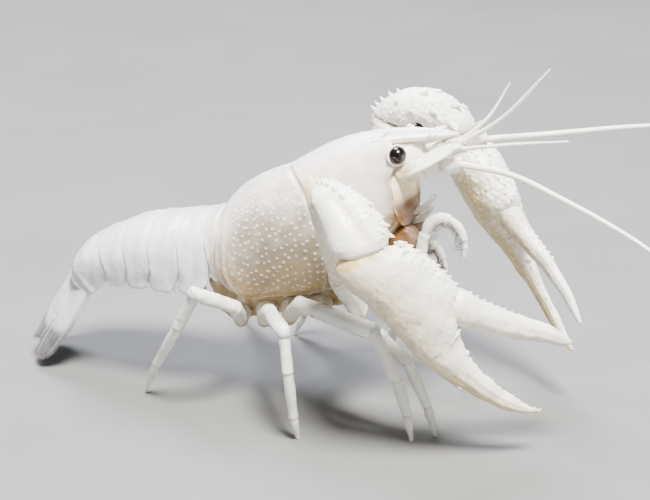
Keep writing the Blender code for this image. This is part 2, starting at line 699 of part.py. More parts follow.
def build_leg(side_name, number, leg):
    """Upper and lower half of one walking leg."""
    side = SIDES[side_name]
    root = hip_point(leg.hip, side, GAP)
    coxa_end = hip_point(leg.hip, side, GAP + COXA_LENGTH)
    ischium, knee, ankle, toe, foot = (outward(p, side) for p in
                                       (leg.ischium, leg.knee, leg.ankle, leg.toe, leg.foot))
    knee_plane = unit(unit(knee - ischium) + unit(ankle - knee))
    upper = limb(f"leg_{number}_{side_name}_upper",
                 [root, coxa_end, ischium, knee - knee_plane * HALF_GAP],
                 [COXA_RADII, ISCHIUM_RADII, MERUS_RADII],
                 hip_normal(side), knee_plane, LEG_SIDES, LEG_FLATNESS)
    lower = limb(f"leg_{number}_{side_name}_lower",
                 [knee + knee_plane * HALF_GAP, ankle, toe, foot],
                 [CARPUS_RADII, PROPODUS_RADII, DACTYL_RADII],
                 knee_plane, (0.0, 0.0, -1.0), LEG_SIDES, LEG_FLATNESS)
    if leg.pincer:
        spread = unit(np.cross(toe - ankle, foot - toe) + np.array([0.35, 0.0, 0.0]))
        start = ankle + (toe - ankle) * 0.82
        tip = foot + (toe - foot) * 0.14 + spread * 0.95
        finger = tapered_tube("finger", [start, (start + tip) / 2 + spread * 0.45, tip],
                              (0.7, 0.62, 0.3), 6)
        lower = boolean(lower, [finger], "UNION")
    return [upper, lower]


class HandFrame:
    """Axes of one hand: along to the fixed finger's tip, across to the movable finger."""

    def __init__(self, arm, side):
        self.origin = outward(arm.wrist, side)
        tip = outward(arm.tip, side)
        self.scale = np.linalg.norm(tip - self.origin) / HAND_LENGTH
        self.along = unit(tip - self.origin)
        face = outward(arm.face, side)
        self.face = unit(face - self.along * (face @ self.along))
        self.across = -side * np.cross(self.face, self.along)

    def point(self, along, across, face=0.0):
        """World point from hand coordinates."""
        return self.origin + self.scale * (self.along * along + self.across * across
                                           + self.face * face)

    def direction(self, along, across, face=0.0):
        """World direction from hand coordinates."""
        return unit(self.point(along, across, face) - self.origin)


def hand_ring(frame, piece, count):
    """One slice of the palm and fixed finger."""
    middle, half = (piece.upper + piece.lower) / 2, (piece.upper - piece.lower) / 2
    points = []
    for k in range(count):
        angle = 2 * math.pi * (k + 0.5) / count
        across = half * signed_power(math.cos(angle), 0.9)
        face = piece.thick * signed_power(math.sin(angle), 0.9)
        points.append(frame.point(piece.along + piece.slant * across, middle + across, face))
    return np.array(points)


def hinge_cutter(frame):
    """Wedge that clears the seat of the movable finger from the palm."""
    (a_along, a_across), (b_along, b_across) = HINGE_FACE
    slope = (a_across - b_across) / (b_along - a_along)
    start = a_along - 4.0
    profile = ((start, a_across + 4.0 * slope), (b_along, b_across), (b_along + 6.0, b_across),
               (b_along + 6.0, 14.0), (start, 14.0))
    rings = [np.array([frame.point(p, q, depth) for p, q in profile]) for depth in (-9.0, 9.0)]
    return loft("cutter", rings)


def finger_axis(arm, t):
    """Centre of the movable finger in hand coordinates, from its buried root to its tip."""
    turn = math.radians(arm.gape)
    distance = FINGER_ROOT + (FINGER_LENGTH - FINGER_ROOT) * t
    bow = -FINGER_BOW * math.sin(math.pi * max(0.0, distance) / FINGER_LENGTH)
    return (HINGE[0] + distance * math.cos(turn) - bow * math.sin(turn),
            HINGE[1] + distance * math.sin(turn) + bow * math.cos(turn))


def build_hand(side_name, arm):
    """Palm with its fixed finger, and the movable finger."""
    side = SIDES[side_name]
    frame = HandFrame(arm, side)
    palm = loft(f"claw_{side_name}_palm", [hand_ring(frame, piece, PALM_POINTS) for piece in HAND])
    palm = boolean(palm, [hinge_cutter(frame)], "DIFFERENCE")
    bumps = []
    for k in range(PALM_TUBERCLES):
        along = 3.0 + 9.6 * k / (PALM_TUBERCLES - 1)
        upper = np.interp(along, [s.along for s in HAND], [s.upper for s in HAND])
        bumps.append(cone(frame.point(along, upper - 0.25, 0.4 * (-1) ** k),
                          frame.direction(0.35, 1.0), TUBERCLE_RADIUS, TUBERCLE_HEIGHT))
    upper = np.interp(TOOTH_ALONG, [s.along for s in HAND], [s.upper for s in HAND])
    bumps.append(cone(frame.point(TOOTH_ALONG, upper - 0.3), frame.direction(0.3, 1.0),
                      0.8, TOOTH_HEIGHT))
    palm = boolean(palm, bumps, "UNION")

    turn = math.radians(arm.gape)
    rings = []
    for t, half in zip(FINGER_STATIONS, FINGER_HALF_WIDTHS):
        along, across = finger_axis(arm, t)
        rings.append(ellipse(frame.point(along, across),
                             frame.direction(-math.sin(turn), math.cos(turn)), frame.face,
                             half * frame.scale, half * FINGER_THICKNESS * frame.scale, 12, 2.2))
    finger = loft(f"claw_{side_name}_finger", rings)
    (a_along, a_across), (b_along, b_across) = HINGE_FACE
    normal = (a_across - b_across, b_along - a_along)
    length = math.hypot(*normal)
    seat = frame.point(b_along + GAP * normal[0] / length, b_across + GAP * normal[1] / length)
    finger = part_by_plane(finger, seat, -frame.direction(*normal))
    bumps = []
    for k in range(FINGER_TUBERCLES):
        t = 0.26 + 0.4 * k / (FINGER_TUBERCLES - 1)
        half = np.interp(t, FINGER_STATIONS, FINGER_HALF_WIDTHS)
        along, across = finger_axis(arm, t)
        edge = (along - (half - 0.2) * math.sin(turn), across + (half - 0.2) * math.cos(turn))
        bumps.append(cone(frame.point(*edge), frame.direction(-math.sin(turn) + 0.3, math.cos(turn)),
                          TUBERCLE_RADIUS * 0.85, TUBERCLE_HEIGHT * 0.8))
    return [palm, boolean(finger, bumps, "UNION")]


def build_cheliped(side_name, arm):
    """Claw arm: base, upper arm, wrist piece, palm and movable finger."""
    side = SIDES[side_name]
    frame = HandFrame(arm, side)
    root = hip_point(arm.hip, side, GAP)
    coxa_end = hip_point(arm.hip, side, GAP + COXA_LENGTH)
    ischium, elbow = outward(arm.ischium, side), outward(arm.elbow, side)
    wrist = HAND[0]
    wrist_centre = frame.point(wrist.along, (wrist.lower + wrist.upper) / 2)
    wrist_plane = frame.direction(1.0, -wrist.slant)
    shoulder_plane = unit(unit(ischium - coxa_end) + unit(elbow - ischium))
    crown = outward(arm.crown, side)
    elbow_plane = unit(unit(elbow - ischium) + unit(crown - elbow))
    base = limb(f"claw_{side_name}_base",
                [root, coxa_end, ischium - shoulder_plane * HALF_GAP],
                [ARM_COXA_RADII, ARM_ISCHIUM_RADII],
                hip_normal(side), shoulder_plane, ARM_SIDES, 0.9)
    merus = limb(f"claw_{side_name}_upper_arm",
                 [ischium + shoulder_plane * HALF_GAP, elbow - elbow_plane * HALF_GAP],
                 [ARM_MERUS_RADII], shoulder_plane, elbow_plane, ARM_SIDES, ARM_MERUS_FLATNESS)

    start = elbow + elbow_plane * HALF_GAP
    end = wrist_centre - wrist_plane * GAP

    def wrist_section(t):
        """Centre, normal and upward direction of the wrist piece at a share of its length."""
        centre = (1 - t) ** 2 * start + 2 * t * (1 - t) * crown + t ** 2 * end
        tangent = unit((1 - t) * (crown - start) + t * (end - crown))
        normal = unit(tangent * (1 - (1 - t) ** 3 - t ** 3) + elbow_plane * (1 - t) ** 3
                      + wrist_plane * t ** 3)
        return centre, normal, unit(frame.across - normal * (frame.across @ normal))

    rings = []
    for t, width, depth in zip(WRIST_PIECE_STATIONS, WRIST_PIECE_WIDTHS, WRIST_PIECE_DEPTHS):
        centre, normal, across = wrist_section(t)
        rings.append(ellipse(centre, across, np.cross(normal, across), width * frame.scale,
                             depth * frame.scale, ARM_SIDES + 2, 2.3))
    carpus = loft(f"claw_{side_name}_wrist", rings)
    spines = []
    for k in range(WRIST_TUBERCLES + 1):
        t = 0.08 + 0.72 * k / WRIST_TUBERCLES
        last = k == WRIST_TUBERCLES
        width = np.interp(t, WRIST_PIECE_STATIONS, WRIST_PIECE_WIDTHS) * frame.scale
        centre, normal, across = wrist_section(t)
        spines.append(cone(centre + across * (width - 0.35), across + normal * (0.5 if last else 0.25),
                           0.75 if last else 0.6, WRIST_SPINE_LENGTH if last else 0.8))
    carpus = boolean(carpus, spines, "UNION")
    return [base, merus, carpus] + build_hand(side_name, arm)


def build_eye(side_name):
    """Short stalk and the round cornea on its end."""
    side = SIDES[side_name]
    centre, root = body(*EYE_CENTRE, side), body(*STALK_ROOT, side)
    head_normal = body_direction(1, 0, 0)
    axis = unit(centre - root)
    across = unit(np.cross(axis, (0, 0, 1)))
    up = np.cross(axis, across)
    rings = []
    for k in range(9):
        angle = math.radians(-76 + 152 * k / 8)
        rings.append(ellipse(centre + axis * EYE_RADIUS * math.sin(angle), across, up,
                             EYE_RADIUS * math.cos(angle), EYE_RADIUS * math.cos(angle), 16))
    eye = part_by_plane(loft(f"eye_{side_name}", rings), centre + axis * EYE_CUT, -axis)
    start = root + head_normal * (HALF_GAP)
    end = centre + axis * (EYE_CUT - GAP)
    stalk = limb(f"eyestalk_{side_name}", [start, end],
                 [(STALK_RADIUS, STALK_RADIUS, STALK_RADIUS * 1.06)], head_normal, axis, 12)
    return [stalk, eye]


def build_antenna(side_name):
    """Base with its scale and two lengths of one long feeler."""
    side = SIDES[side_name]
    route = [outward(p, side) for p in FLAGELLUM_ROUTES[side_name]]
    points = smooth_route(route, FLAGELLUM_STATIONS)
    split = int(round(FLAGELLUM_SPLIT * (FLAGELLUM_STATIONS - 1)))
    first = unit(points[1] - points[0])
    route = [face_point(*PEDUNCLE_ROOT, side), outward(PEDUNCLE_MIDDLE, side), points[0] - first * GAP]
    peduncle = tapered_tube(f"antenna_{side_name}_base", smooth_route(route, 8),
                            PEDUNCLE_RADII, 12, 1.0, face_normal(side), first)
    peduncle = boolean(peduncle, [scale_piece(side)], "UNION")
    places = np.linspace(0, 1, len(FLAGELLUM_RADII))
    radius = [np.interp(k / (FLAGELLUM_STATIONS - 1), places, FLAGELLUM_RADII)
              for k in range(FLAGELLUM_STATIONS)]
    inner_points, outer_points = points[:split + 1], points[split:]
    turn = unit(outer_points[1] - inner_points[-2])
    inner_points = inner_points[:-1] + [inner_points[-1] - turn * HALF_GAP]
    outer_points = [outer_points[0] + turn * HALF_GAP] + outer_points[1:]
    inner = tapered_tube(f"antenna_{side_name}_inner", inner_points, radius[:split + 1],
                         FLAGELLUM_SIDES, 1.0, first, turn)
    outer = tapered_tube(f"antenna_{side_name}_outer", outer_points, radius[split:],
                         FLAGELLUM_SIDES, 1.0, turn)
    return [peduncle, inner, outer]


def scale_piece(side):
    """Flat pointed scale beside the feeler's base."""
    count = len(SCALE_HALF_WIDTHS)
    route = smooth_route([outward(p, side) for p in SCALE_ROUTE], count)
    along = unit(route[-1] - route[0])
    across = np.array([0.0, side, -SCALE_TILT])
    across = unit(across - along * (across @ along))
    up = np.cross(along, across)
    rings = [ellipse(point, across, up, half, SCALE_THICKNESS / 2, 8, 2.6)
             for point, half in zip(route, SCALE_HALF_WIDTHS)]
    return loft("scale", rings)


def build_antennule(side_name):
    """Small feeler with its jointed base and two thin lashes."""
    side = SIDES[side_name]
    root, end = face_point(*ANTENNULE_ROOT, side), body(*ANTENNULE_END, side)
    base = tapered_tube(f"antennule_{side_name}", [root + (end - root) * k / 5 for k in range(6)],
                        ANTENNULE_RADII, 8, 1.0, (1.0, 0.0, 0.0))
    lashes = []
    for k, tip in enumerate(ANTENNULE_TIPS[side_name]):
        tip = outward(tip, side)
        offset = body_direction(0, 0, 1) * (0.42 if k else -0.36)
        start = end - unit(end - root) * 0.8 + offset
        middle = (start + tip) / 2 + np.array([0.3, 0.0, -ANTENNULE_SAG])
        lashes.append(tapered_tube("lash", smooth_route([start, middle, tip], 9),
                                   ANTENNULE_FLAGELLUM_RADII, 5))
    return boolean(base, lashes, "UNION")


def build_maxilliped(side_name):
    """Leg-like mouthpart that arches in front of the mouth."""
    side = SIDES[side_name]
    start = body(STERNUM_END + GAP, 2.6, sternum_edge(STERNUM_END) - 1.2, side)
    route = [start] + [outward(p, side) for p in MAXILLIPED_ROUTES[side_name]]
    return tapered_tube(f"maxilliped_{side_name}", smooth_route(route, MAXILLIPED_STATIONS),
                        MAXILLIPED_RADII, MAXILLIPED_SIDES, 0.85, body_direction(1, 0, 0))


def heading_axes(angle):
    """Directions toward the tail and away from the belly for a heading in degrees."""
    turn = math.radians(angle)
    return (np.array([-math.cos(turn), 0.0, -math.sin(turn)]),
            np.array([-math.sin(turn), 0.0, math.cos(turn)]))


def abdomen_joints():
    """Back point and plane heading at each end of each ring of the abdomen."""
    headings = [BODY_PITCH] + [s.heading for s in ABDOMEN] + [FAN_HEADING]
    point = body(0, 0, 0)
    joints = [(point, BODY_PITCH)]
    for k, somite in enumerate(ABDOMEN):
        point = point + heading_axes(somite.heading)[0] * somite.length
        joints.append((point, (headings[k + 1] + headings[k + 2]) / 2))
    return joints


def somite_ring(point, heading, half, depth, full_depth, step, belly_rise):
    """Arched cross-section with a side plate on each flank and a hollow belly."""
    up = heading_axes(heading)[1]
    belly = full_depth - belly_rise
    waist = 0.56 * full_depth
    outer = []
    for k in range(9):
        angle = math.pi / 2 * k / 8
        outer.append(((half - step) * math.cos(angle) ** (2 / 2.2),
                      -waist + (waist - step) * math.sin(angle) ** (2 / 2.2)))
    tip = max(depth, belly + 0.5)
    foot = ((half - step) * 0.95, -tip)
    inner = [((half - step) * 0.95 - PLEURON_THICKNESS * 0.75, -tip),
             (half - step - PLEURON_THICKNESS * 1.6, -belly), (half * 0.4, -belly + 0.3)]
    right = [foot] + outer[:-1]
    profile = right + [outer[-1]] + [(-y, h) for y, h in reversed(right)]
    profile += [(-y, h) for y, h in inner] + list(reversed(inner))
    return np.array([point + np.array([0.0, out, 0.0]) + up * height for out, height in profile])


def build_abdomen():
    """Six rings with side plates, each with its swimmerets."""
    joints = abdomen_joints()
    ends = np.cumsum([0] + [s.length for s in ABDOMEN])
    middles = [(a + b) / 2 for a, b in zip(ends, ends[1:])]
    items = []
    for number, somite in enumerate(ABDOMEN, start=1):
        (front, front_lean), (rear, rear_lean) = joints[number - 1], joints[number]
        belly_rise = BELLY_RISE if number < len(ABDOMEN) else LAST_BELLY_RISE
        rings = []
        for s in (0.0, 0.1, 0.3, 0.65, 0.92, 1.0):
            distance = ends[number - 1] + somite.length * s
            half = np.interp(distance, middles, [q.half_width for q in ABDOMEN])
            full = np.interp(distance, middles, [q.depth for q in ABDOMEN])
            depth = full * (1 - PLEURON_NOTCH * abs(2 * s - 1) ** 3.5)
            step = TERGITE_STEP * max(0.0, 1 - s / 0.3)
            inset = HALF_GAP * ((s == 0.0) - (s == 1.0))
            point = front + (rear - front) * s + heading_axes(somite.heading)[0] * inset
            rings.append(somite_ring(point, front_lean + (rear_lean - front_lean) * s,
                                     half, depth, full, step, belly_rise))
        ring = loft(f"abdomen_{number}", rings)
        if somite.swimmeret:
            ring = boolean(ring, swimmerets(somite, front, rear), "UNION")
        items.append(ring)
    return items


def swimmerets(somite, front, rear):
    """Two-branched swimmerets under one ring."""
    toward_tail, up = heading_axes(somite.heading)
    middle = (front + rear) / 2
    depth = somite.depth - BELLY_RISE
    pieces = []
    for side in SIDES.values():
        for out, lean, share in ((3.1, 0.10, 1.0), (4.5, 0.22, 0.85)):
            root = middle - up * (depth - 1.0) + np.array([0.0, side * out, 0.0])
            way = unit(-up + np.array([0.0, side * lean, 0.0]) - toward_tail * 0.12)
            length = somite.swimmeret * share + 1.0
            across, rings = unit(np.cross(way, toward_tail)), []
            thin = np.cross(way, across)
            for t, half in ((0.0, 0.5), (0.35, 0.62), (0.75, 0.5), (1.0, 0.22)):
                rings.append(ellipse(root + way * length * t, across, thin, half, 0.36, 6))
            pieces.append(loft("swimmeret", rings))
    return pieces


def build_blade(name, blade, side):
    """Thin plate of the tail fan, with the same triangles on both faces."""
    rear, rear_heading = abdomen_joints()[-1]
    toward_tail, up = heading_axes(FAN_HEADING)
    plane = heading_axes(rear_heading)[0]
    axis = rear - up * FAN_AXIS_DEPTH
    roll = math.radians(FAN_ROLL)
    width, height = (size - FAN_LAYER * blade.layer for size in FAN_ARC)
    middle, half = (blade.start + blade.end) / 2, (blade.end - blade.start) / 2
    faces = ([], [])
    for k in range(BLADE_ROWS):
        t = k / (BLADE_ROWS - 1)
        share = hermite((0.0, 0.5, 1.0), blade.shares, t)
        grow = 1 + FAN_SPREAD * t
        for j in range(BLADE_COLUMNS):
            s = 2 * j / (BLADE_COLUMNS - 1) - 1
            angle = math.radians(middle + half * share * s)
            out, rise = side * width * grow * math.sin(angle), height * math.cos(angle)
            normal = unit((side * height * math.sin(angle), width * math.cos(angle)))
            length = blade.length * t * (1 - BLADE_ROUNDING * s * s * t * t)
            ridge = BLADE_RIDGE if j == BLADE_COLUMNS // 2 and k > 0 else 0.0
            for face, lift in zip(faces, (FAN_THICKNESS / 2 + ridge, -FAN_THICKNESS / 2)):
                y, z = out + normal[0] * lift, rise + normal[1] * lift
                point = (axis + np.array([0.0, y * math.cos(roll) - z * math.sin(roll), 0.0])
                         + up * (z * math.cos(roll) + y * math.sin(roll)) + toward_tail * length)
                if k == 0:
                    point = point - toward_tail * ((point - rear) @ plane - GAP) / (toward_tail @ plane)
                face.append(point)
    return plate(name, *faces, BLADE_ROWS, BLADE_COLUMNS)


def plate(name, upper, lower, rows, columns):
    """Closed plate from two like grids of points."""
    offset = len(upper)
    faces = []
    for row in range(rows - 1):
        for col in range(columns - 1):
            a, b = row * columns + col, row * columns + col + 1
            c, d = a + columns, b + columns
            faces += [(a, b, d), (a, d, c), (offset + b, offset + a, offset + d),
                      (offset + d, offset + a, offset + c)]
    rim = ([(0, c) for c in range(columns)] + [(r, columns - 1) for r in range(1, rows)]
           + [(rows - 1, c) for c in range(columns - 2, -1, -1)] + [(r, 0) for r in range(rows - 2, 0, -1)])
    rim = [r * columns + c for r, c in rim]
    for here, there in zip(rim, rim[1:] + rim[:1]):
        faces += [(there, here, offset + here), (there, offset + here, offset + there)]
    return mesh_object(name, list(upper) + list(lower), faces)


def build_tail_fan():
    """Middle plate and two pairs of side plates."""
    items = [build_blade("telson", TELSON, 1.0)]
    for side_name, blades in UROPODS.items():
        items += [build_blade(f"uropod_{side_name}_{place}", blade, SIDES[side_name])
                  for place, blade in blades.items()]
    return items


def dress(item, finish, parent):
    """Give the object its own material, smooth shading and its parent."""
    material = bpy.data.materials.new(f"{item.name}_{finish.name}")
    material.use_nodes = True
    shader = material.node_tree.nodes["Principled BSDF"]
    shader.inputs["Base Color"].default_value = (*finish.colour, 1.0)
    shader.inputs["Roughness"].default_value = finish.roughness
    shader.inputs["Metallic"].default_value = 0.0
    item.data.materials.clear()
    item.data.materials.append(material)
    item.data.shade_smooth()
    item.data.set_sharp_from_angle(angle=math.radians(50))
    item.parent = parent


def main():
    """Build every part and stand the animal over the origin."""
    for item in list(bpy.data.objects):
        bpy.data.objects.remove(item)
    stand = bpy.data.objects.new("crayfish", None)
    bpy.context.collection.objects.link(stand)

    dressed = [(build_carapace(), SHELL), (build_head(), SHELL), (build_sternum(), MEMBRANE)]
    for side_name in SIDES:
        stalk, eye = build_eye(side_name)
        dressed += [(build_mandible(side_name), MANDIBLE), (stalk, SHELL), (eye, CORNEA)]
        dressed += [(item, FEELER) for item in build_antenna(side_name)]
        dressed += [(build_antennule(side_name), FEELER), (build_maxilliped(side_name), CLAW)]
        dressed += [(item, CLAW) for item in build_cheliped(side_name, CHELIPEDS[side_name])]
        for number, leg in LEGS[side_name].items():
            dressed += [(item, CLAW) for item in build_leg(side_name, number, leg)]
    dressed += [(item, TAIL) for item in build_abdomen()]
    dressed += [(item, TAIL) for item in build_tail_fan()]

    corners = np.array([v.co for item, _ in dressed for v in item.data.vertices])
    low, high = corners.min(axis=0), corners.max(axis=0)
    stand.location = (-(low[0] + high[0]) / 2, -(low[1] + high[1]) / 2, 0.0)
    for item, finish in dressed:
        dress(item, finish, stand)


main()
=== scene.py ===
"""Everglades crayfish in its white form, a life-size display model in soft studio light.

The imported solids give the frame, the pose and the sizes.  Each piece here is the finer form
of one of them.  Lengths are in millimetres until a mesh is written, +X points to the head,
+Y to the animal's left, +Z up, and outward distances are positive on both sides.
"""
import logging
import math
from dataclasses import dataclass, field
from enum import Enum
from typing import Callable

import bpy
import numpy as np
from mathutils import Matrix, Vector, kdtree


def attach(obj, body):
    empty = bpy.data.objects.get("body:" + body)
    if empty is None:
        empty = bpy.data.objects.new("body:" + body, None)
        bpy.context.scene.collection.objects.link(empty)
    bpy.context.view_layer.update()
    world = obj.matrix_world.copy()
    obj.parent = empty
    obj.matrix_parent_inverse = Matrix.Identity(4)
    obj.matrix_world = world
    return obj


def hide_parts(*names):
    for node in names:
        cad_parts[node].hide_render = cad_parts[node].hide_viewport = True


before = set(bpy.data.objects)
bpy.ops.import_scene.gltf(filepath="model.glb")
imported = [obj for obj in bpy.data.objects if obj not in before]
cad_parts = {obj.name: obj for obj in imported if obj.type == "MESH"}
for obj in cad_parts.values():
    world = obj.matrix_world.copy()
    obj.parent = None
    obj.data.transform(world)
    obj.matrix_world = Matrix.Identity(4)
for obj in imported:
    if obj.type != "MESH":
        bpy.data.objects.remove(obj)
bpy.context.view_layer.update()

LOG = logging.getLogger("crayfish")
MM = 0.001
REAR_X, REAR_Z, BODY_PITCH = -18.6, 35.0, 20.0      # rear edge of the carapace, and its pitch
SIDES = {"right": -1.0, "left": 1.0}
ASKEW = (0.31, 0.52, 0.79)                          # a direction that no spine or bristle has
RIPPLE_WAVES = 14
STRAY = 0.24                                        # share of the spacing that a tubercle strays
PATCH = 0.003                                       # size of a bristle's patch on the unwrap
Array = np.ndarray


class Slot(Enum):
    """Material slots of the record."""
    BODY = "body_shell"
    LIMB = "limb_shell"
    TAIL = "tail_shell"
    FEELER = "feeler"
    UNDERSIDE = "underside"
    JAW = "jaw"
    EYE = "eye"


def unit(vectors: Array) -> Array:
    """Vectors of length one."""
    vectors = np.asarray(vectors, float)
    return vectors / np.maximum(np.linalg.norm(vectors, axis=-1, keepdims=True), 1e-12)


def body(along: Array, out: Array, height: Array, side: float = 1.0) -> Array:
    """Places given along the body's axis.

    Args:
        along: distance forward from the carapace's rear edge.
        out: distance out from the middle.
        height: distance above the axis.
        side: -1 for the right side, 1 for the left.

    Returns:
        Points in the making frame.
    """
    pitch = math.radians(BODY_PITCH)
    along, out, height = np.broadcast_arrays(*(np.asarray(v, float) for v in (along, out, height)))
    return np.stack([REAR_X + along * math.cos(pitch) - height * math.sin(pitch), side * out,
                     REAR_Z + along * math.sin(pitch) + height * math.cos(pitch)], axis=-1)


def body_direction(along: float, out: float, height: float, side: float = 1.0) -> Array:
    """Direction given along, out from and above the body's axis."""
    return unit(body(along, out, height, side) - body(0, 0, 0))


def outward(point: tuple, side: float) -> Array:
    """Point from forward, outward and up."""
    return np.array([point[0], side * point[1], point[2]], float)


def power(value: Array, exponent: float) -> Array:
    """Power that keeps the sign."""
    return np.sign(value) * np.abs(value) ** exponent


def step(value: Array, low: float, high: float) -> Array:
    """Smooth step from 0 at low to 1 at high, either way round."""
    t = np.clip((np.asarray(value, float) - low) / (high - low), 0, 1)
    return t * t * (3 - 2 * t)


def bell(value: Array, middle: float, width: float) -> Array:
    """Smooth bump of height one."""
    return np.exp(-((np.asarray(value, float) - middle) / width) ** 2)


def taper(count: int, values: tuple, places: tuple = None) -> Array:
    """Values from one end of a row to the other, evenly placed or at shares of the way."""
    places = np.linspace(0, 1, len(values)) if places is None else places
    return np.interp(np.linspace(0, 1, count), places, values)


def curve(knots: Array, values: Array, at: Array) -> Array:
    """Smooth curve through values at rising knots.

    Args:
        knots: rising places.
        values: a number or a vector at each knot.
        at: places where the curve is wanted.

    Returns:
        The curve's values, one row for each place.
    """
    knots, values, at = (np.asarray(v, float) for v in (knots, values, at))
    slopes = np.gradient(values, knots, axis=0)
    k = np.clip(np.searchsorted(knots, at) - 1, 0, len(knots) - 2)
    span = knots[k + 1] - knots[k]
    t = (at - knots[k]) / span
    if values.ndim > 1:
        t, span = t[..., None], span[..., None]
    return ((2 * t ** 3 - 3 * t ** 2 + 1) * values[k] + (t ** 3 - 2 * t ** 2 + t) * span * slopes[k]
            + (3 * t ** 2 - 2 * t ** 3) * values[k + 1] + (t ** 3 - t ** 2) * span * slopes[k + 1])


def lengths(points: Array) -> Array:
    """Distance travelled along a row of points."""
    return np.concatenate([[0], np.cumsum(np.linalg.norm(np.diff(points, axis=0), axis=1))])


def route(points: list, count: int) -> Array:
    """Points spread evenly on a smooth curve through a given route."""
    knots = lengths(np.asarray(points, float))
    return curve(knots, points, np.linspace(0, knots[-1], count))


def ripple(points: Array, size: float, seed: int) -> Array:
    """Smooth unevenness.

    Args:
        points: places in millimetres.
        size: size of its lumps.
        seed: start of the random numbers.

    Returns:
        About -1 to 1 at each place.
    """
    rng = np.random.default_rng(seed)
    total = np.zeros(points.shape[:-1])
    for _ in range(RIPPLE_WAVES):
        way = unit(rng.normal(size=3)) * rng.uniform(0.6, 1.5) * math.pi / size
        total += np.sin(points @ way + rng.uniform(0, 2 * math.pi))
    return total / 4.2


def ring(centre: Array, across: Array, up: Array, half_across: float, half_up: float, sides: int,
         squareness: float = 2.0) -> Array:
    """Ellipse of points.

    Args:
        centre: its middle.
        across: direction of its first axis.
        up: direction of its second axis.
        half_across: half size on the first axis.
        half_up: half size on the second axis.
        sides: number of points.
        squareness: two for an ellipse, more for fuller corners.

    Returns:
        The points.
    """
    angle = 2 * np.pi * np.arange(sides) / sides
    return (centre + np.outer(half_across * power(np.cos(angle), 2 / squareness), across)
            + np.outer(half_up * power(np.sin(angle), 2 / squareness), up))


def normals_of(grid: Array) -> Array:
    """Outward normals of a grid of closed rings."""
    normals = unit(np.cross(np.roll(grid, -1, axis=1) - np.roll(grid, 1, axis=1), np.gradient(grid, axis=0)))
    inward = (normals * (grid - grid.mean(axis=1, keepdims=True))).sum() < 0
    return -normals if inward else normals


def raised(grid: Array, lift: Array) -> Array:
    """Grid moved out along its normals by a height at each point."""
    return grid + normals_of(grid) * lift[..., None]


def scatter(grid: Array, spacing: float, seed: int) -> tuple[Array, Array]:
    """Places in loose rows over a closed grid.

    Args:
        grid: rows of points round the form.
        spacing: distance between neighbours.
        seed: start of the random numbers.

    Returns:
        The points, and for each its share along and round the grid.
    """
    rng = np.random.default_rng(seed)
    rows, cols = grid.shape[:2]
    travelled = lengths(grid.mean(axis=1))
    places, shares = [], []
    for n, at in enumerate(np.arange(spacing / 2, travelled[-1], spacing * 0.87)):
        row = np.interp(at, travelled, np.arange(rows))
        arc = lengths(np.vstack([grid[int(row)], grid[int(row)][:1]]))
        count = int(arc[-1] / spacing)
        if count < 3:
            continue
        turn = (np.arange(count) + 0.5 * (n % 2) + rng.uniform(-STRAY, STRAY, count)) / count % 1
        col = np.interp(turn * arc[-1], arc, np.arange(cols + 1))
        stray = rng.uniform(-STRAY, STRAY, count) * spacing * rows / travelled[-1]
        line = np.clip(np.round(row + stray).astype(int), 0, rows - 1)
        places.append(grid[line, np.round(col).astype(int) % cols])
        shares.append(np.stack([line / rows, col / cols], axis=1))
    return np.concatenate(places), np.concatenate(shares)


def tubercles(grid: Array, spacing: float, seeds: tuple, grown: Callable, vary: tuple, radius: float,
              height: float, bulge: float = 1.0) -> tuple[Array, Array]:
    """Low rounded tubercles of varied size in loose rows.

    Args:
        grid: points of the surface.
        spacing: distance between neighbours.
        seeds: starts of the random numbers for the places and for the sizes.
        grown: size from the shares along and round the grid.
        vary: smallest and largest random factor of the size, and the share that is missing.
        radius: radius at size one.
        height: height at size one.
        bulge: power of the size in the height.

    Returns:
        Height and mask of the tubercles at every point of the grid.
    """
    places, shares = scatter(grid, spacing, seeds[0])
    rng = np.random.default_rng(seeds[1])
    size = grown(*shares.T) * rng.uniform(vary[0], vary[1], len(places))
    if vary[2]:
        size = size * (rng.random(len(places)) > vary[2])
    radii, heights = radius * np.maximum(size, 0.05), height * size ** bulge
    tree = kdtree.KDTree(len(places))
    for k, place in enumerate(places):
        tree.insert(Vector(place), k)
    tree.balance()
    found = np.array([tree.find(p)[1:] for p in grid.reshape(-1, 3).tolist()])
    index = found[:, 0].astype(int)
    share = np.clip(1 - (found[:, 1] / radii[index]) ** 2, 0, 1)
    return ((heights[index] * share ** 1.3).reshape(grid.shape[:2]),
            (np.sqrt(share) * (heights[index] > 0)).reshape(grid.shape[:2]))


def tube(points: Array, radii: Array, sides: int, flatness: float = 1.0,
         end_normal: Array = None) -> Array:
    """Rings round a route.

    Args:
        points: the route.
        radii: radius at each point.
        sides: points in each ring.
        flatness: width across the route as a share of its height.
        end_normal: plane of the last ring.

    Returns:
        Grid of points.
    """
    last, across, rings = len(points) - 1, None, []
    for k, point in enumerate(points):
        axis = unit(points[min(k + 1, last)] - points[max(k - 1, 0)])
        start = np.cross(axis, (0.0, 0.0, 1.0)) if across is None else across
        across = unit(start - axis * (start @ axis))
        loop = ring(np.zeros(3), across, np.cross(axis, across), radii[k] * flatness, radii[k], sides)
        share = 3 * k / last - 2
        if end_normal is not None and share > 0:
            loop = loop - share * np.outer((loop @ unit(end_normal)) / (axis @ unit(end_normal)), axis)
        rings.append(point + loop)
    return np.array(rings)


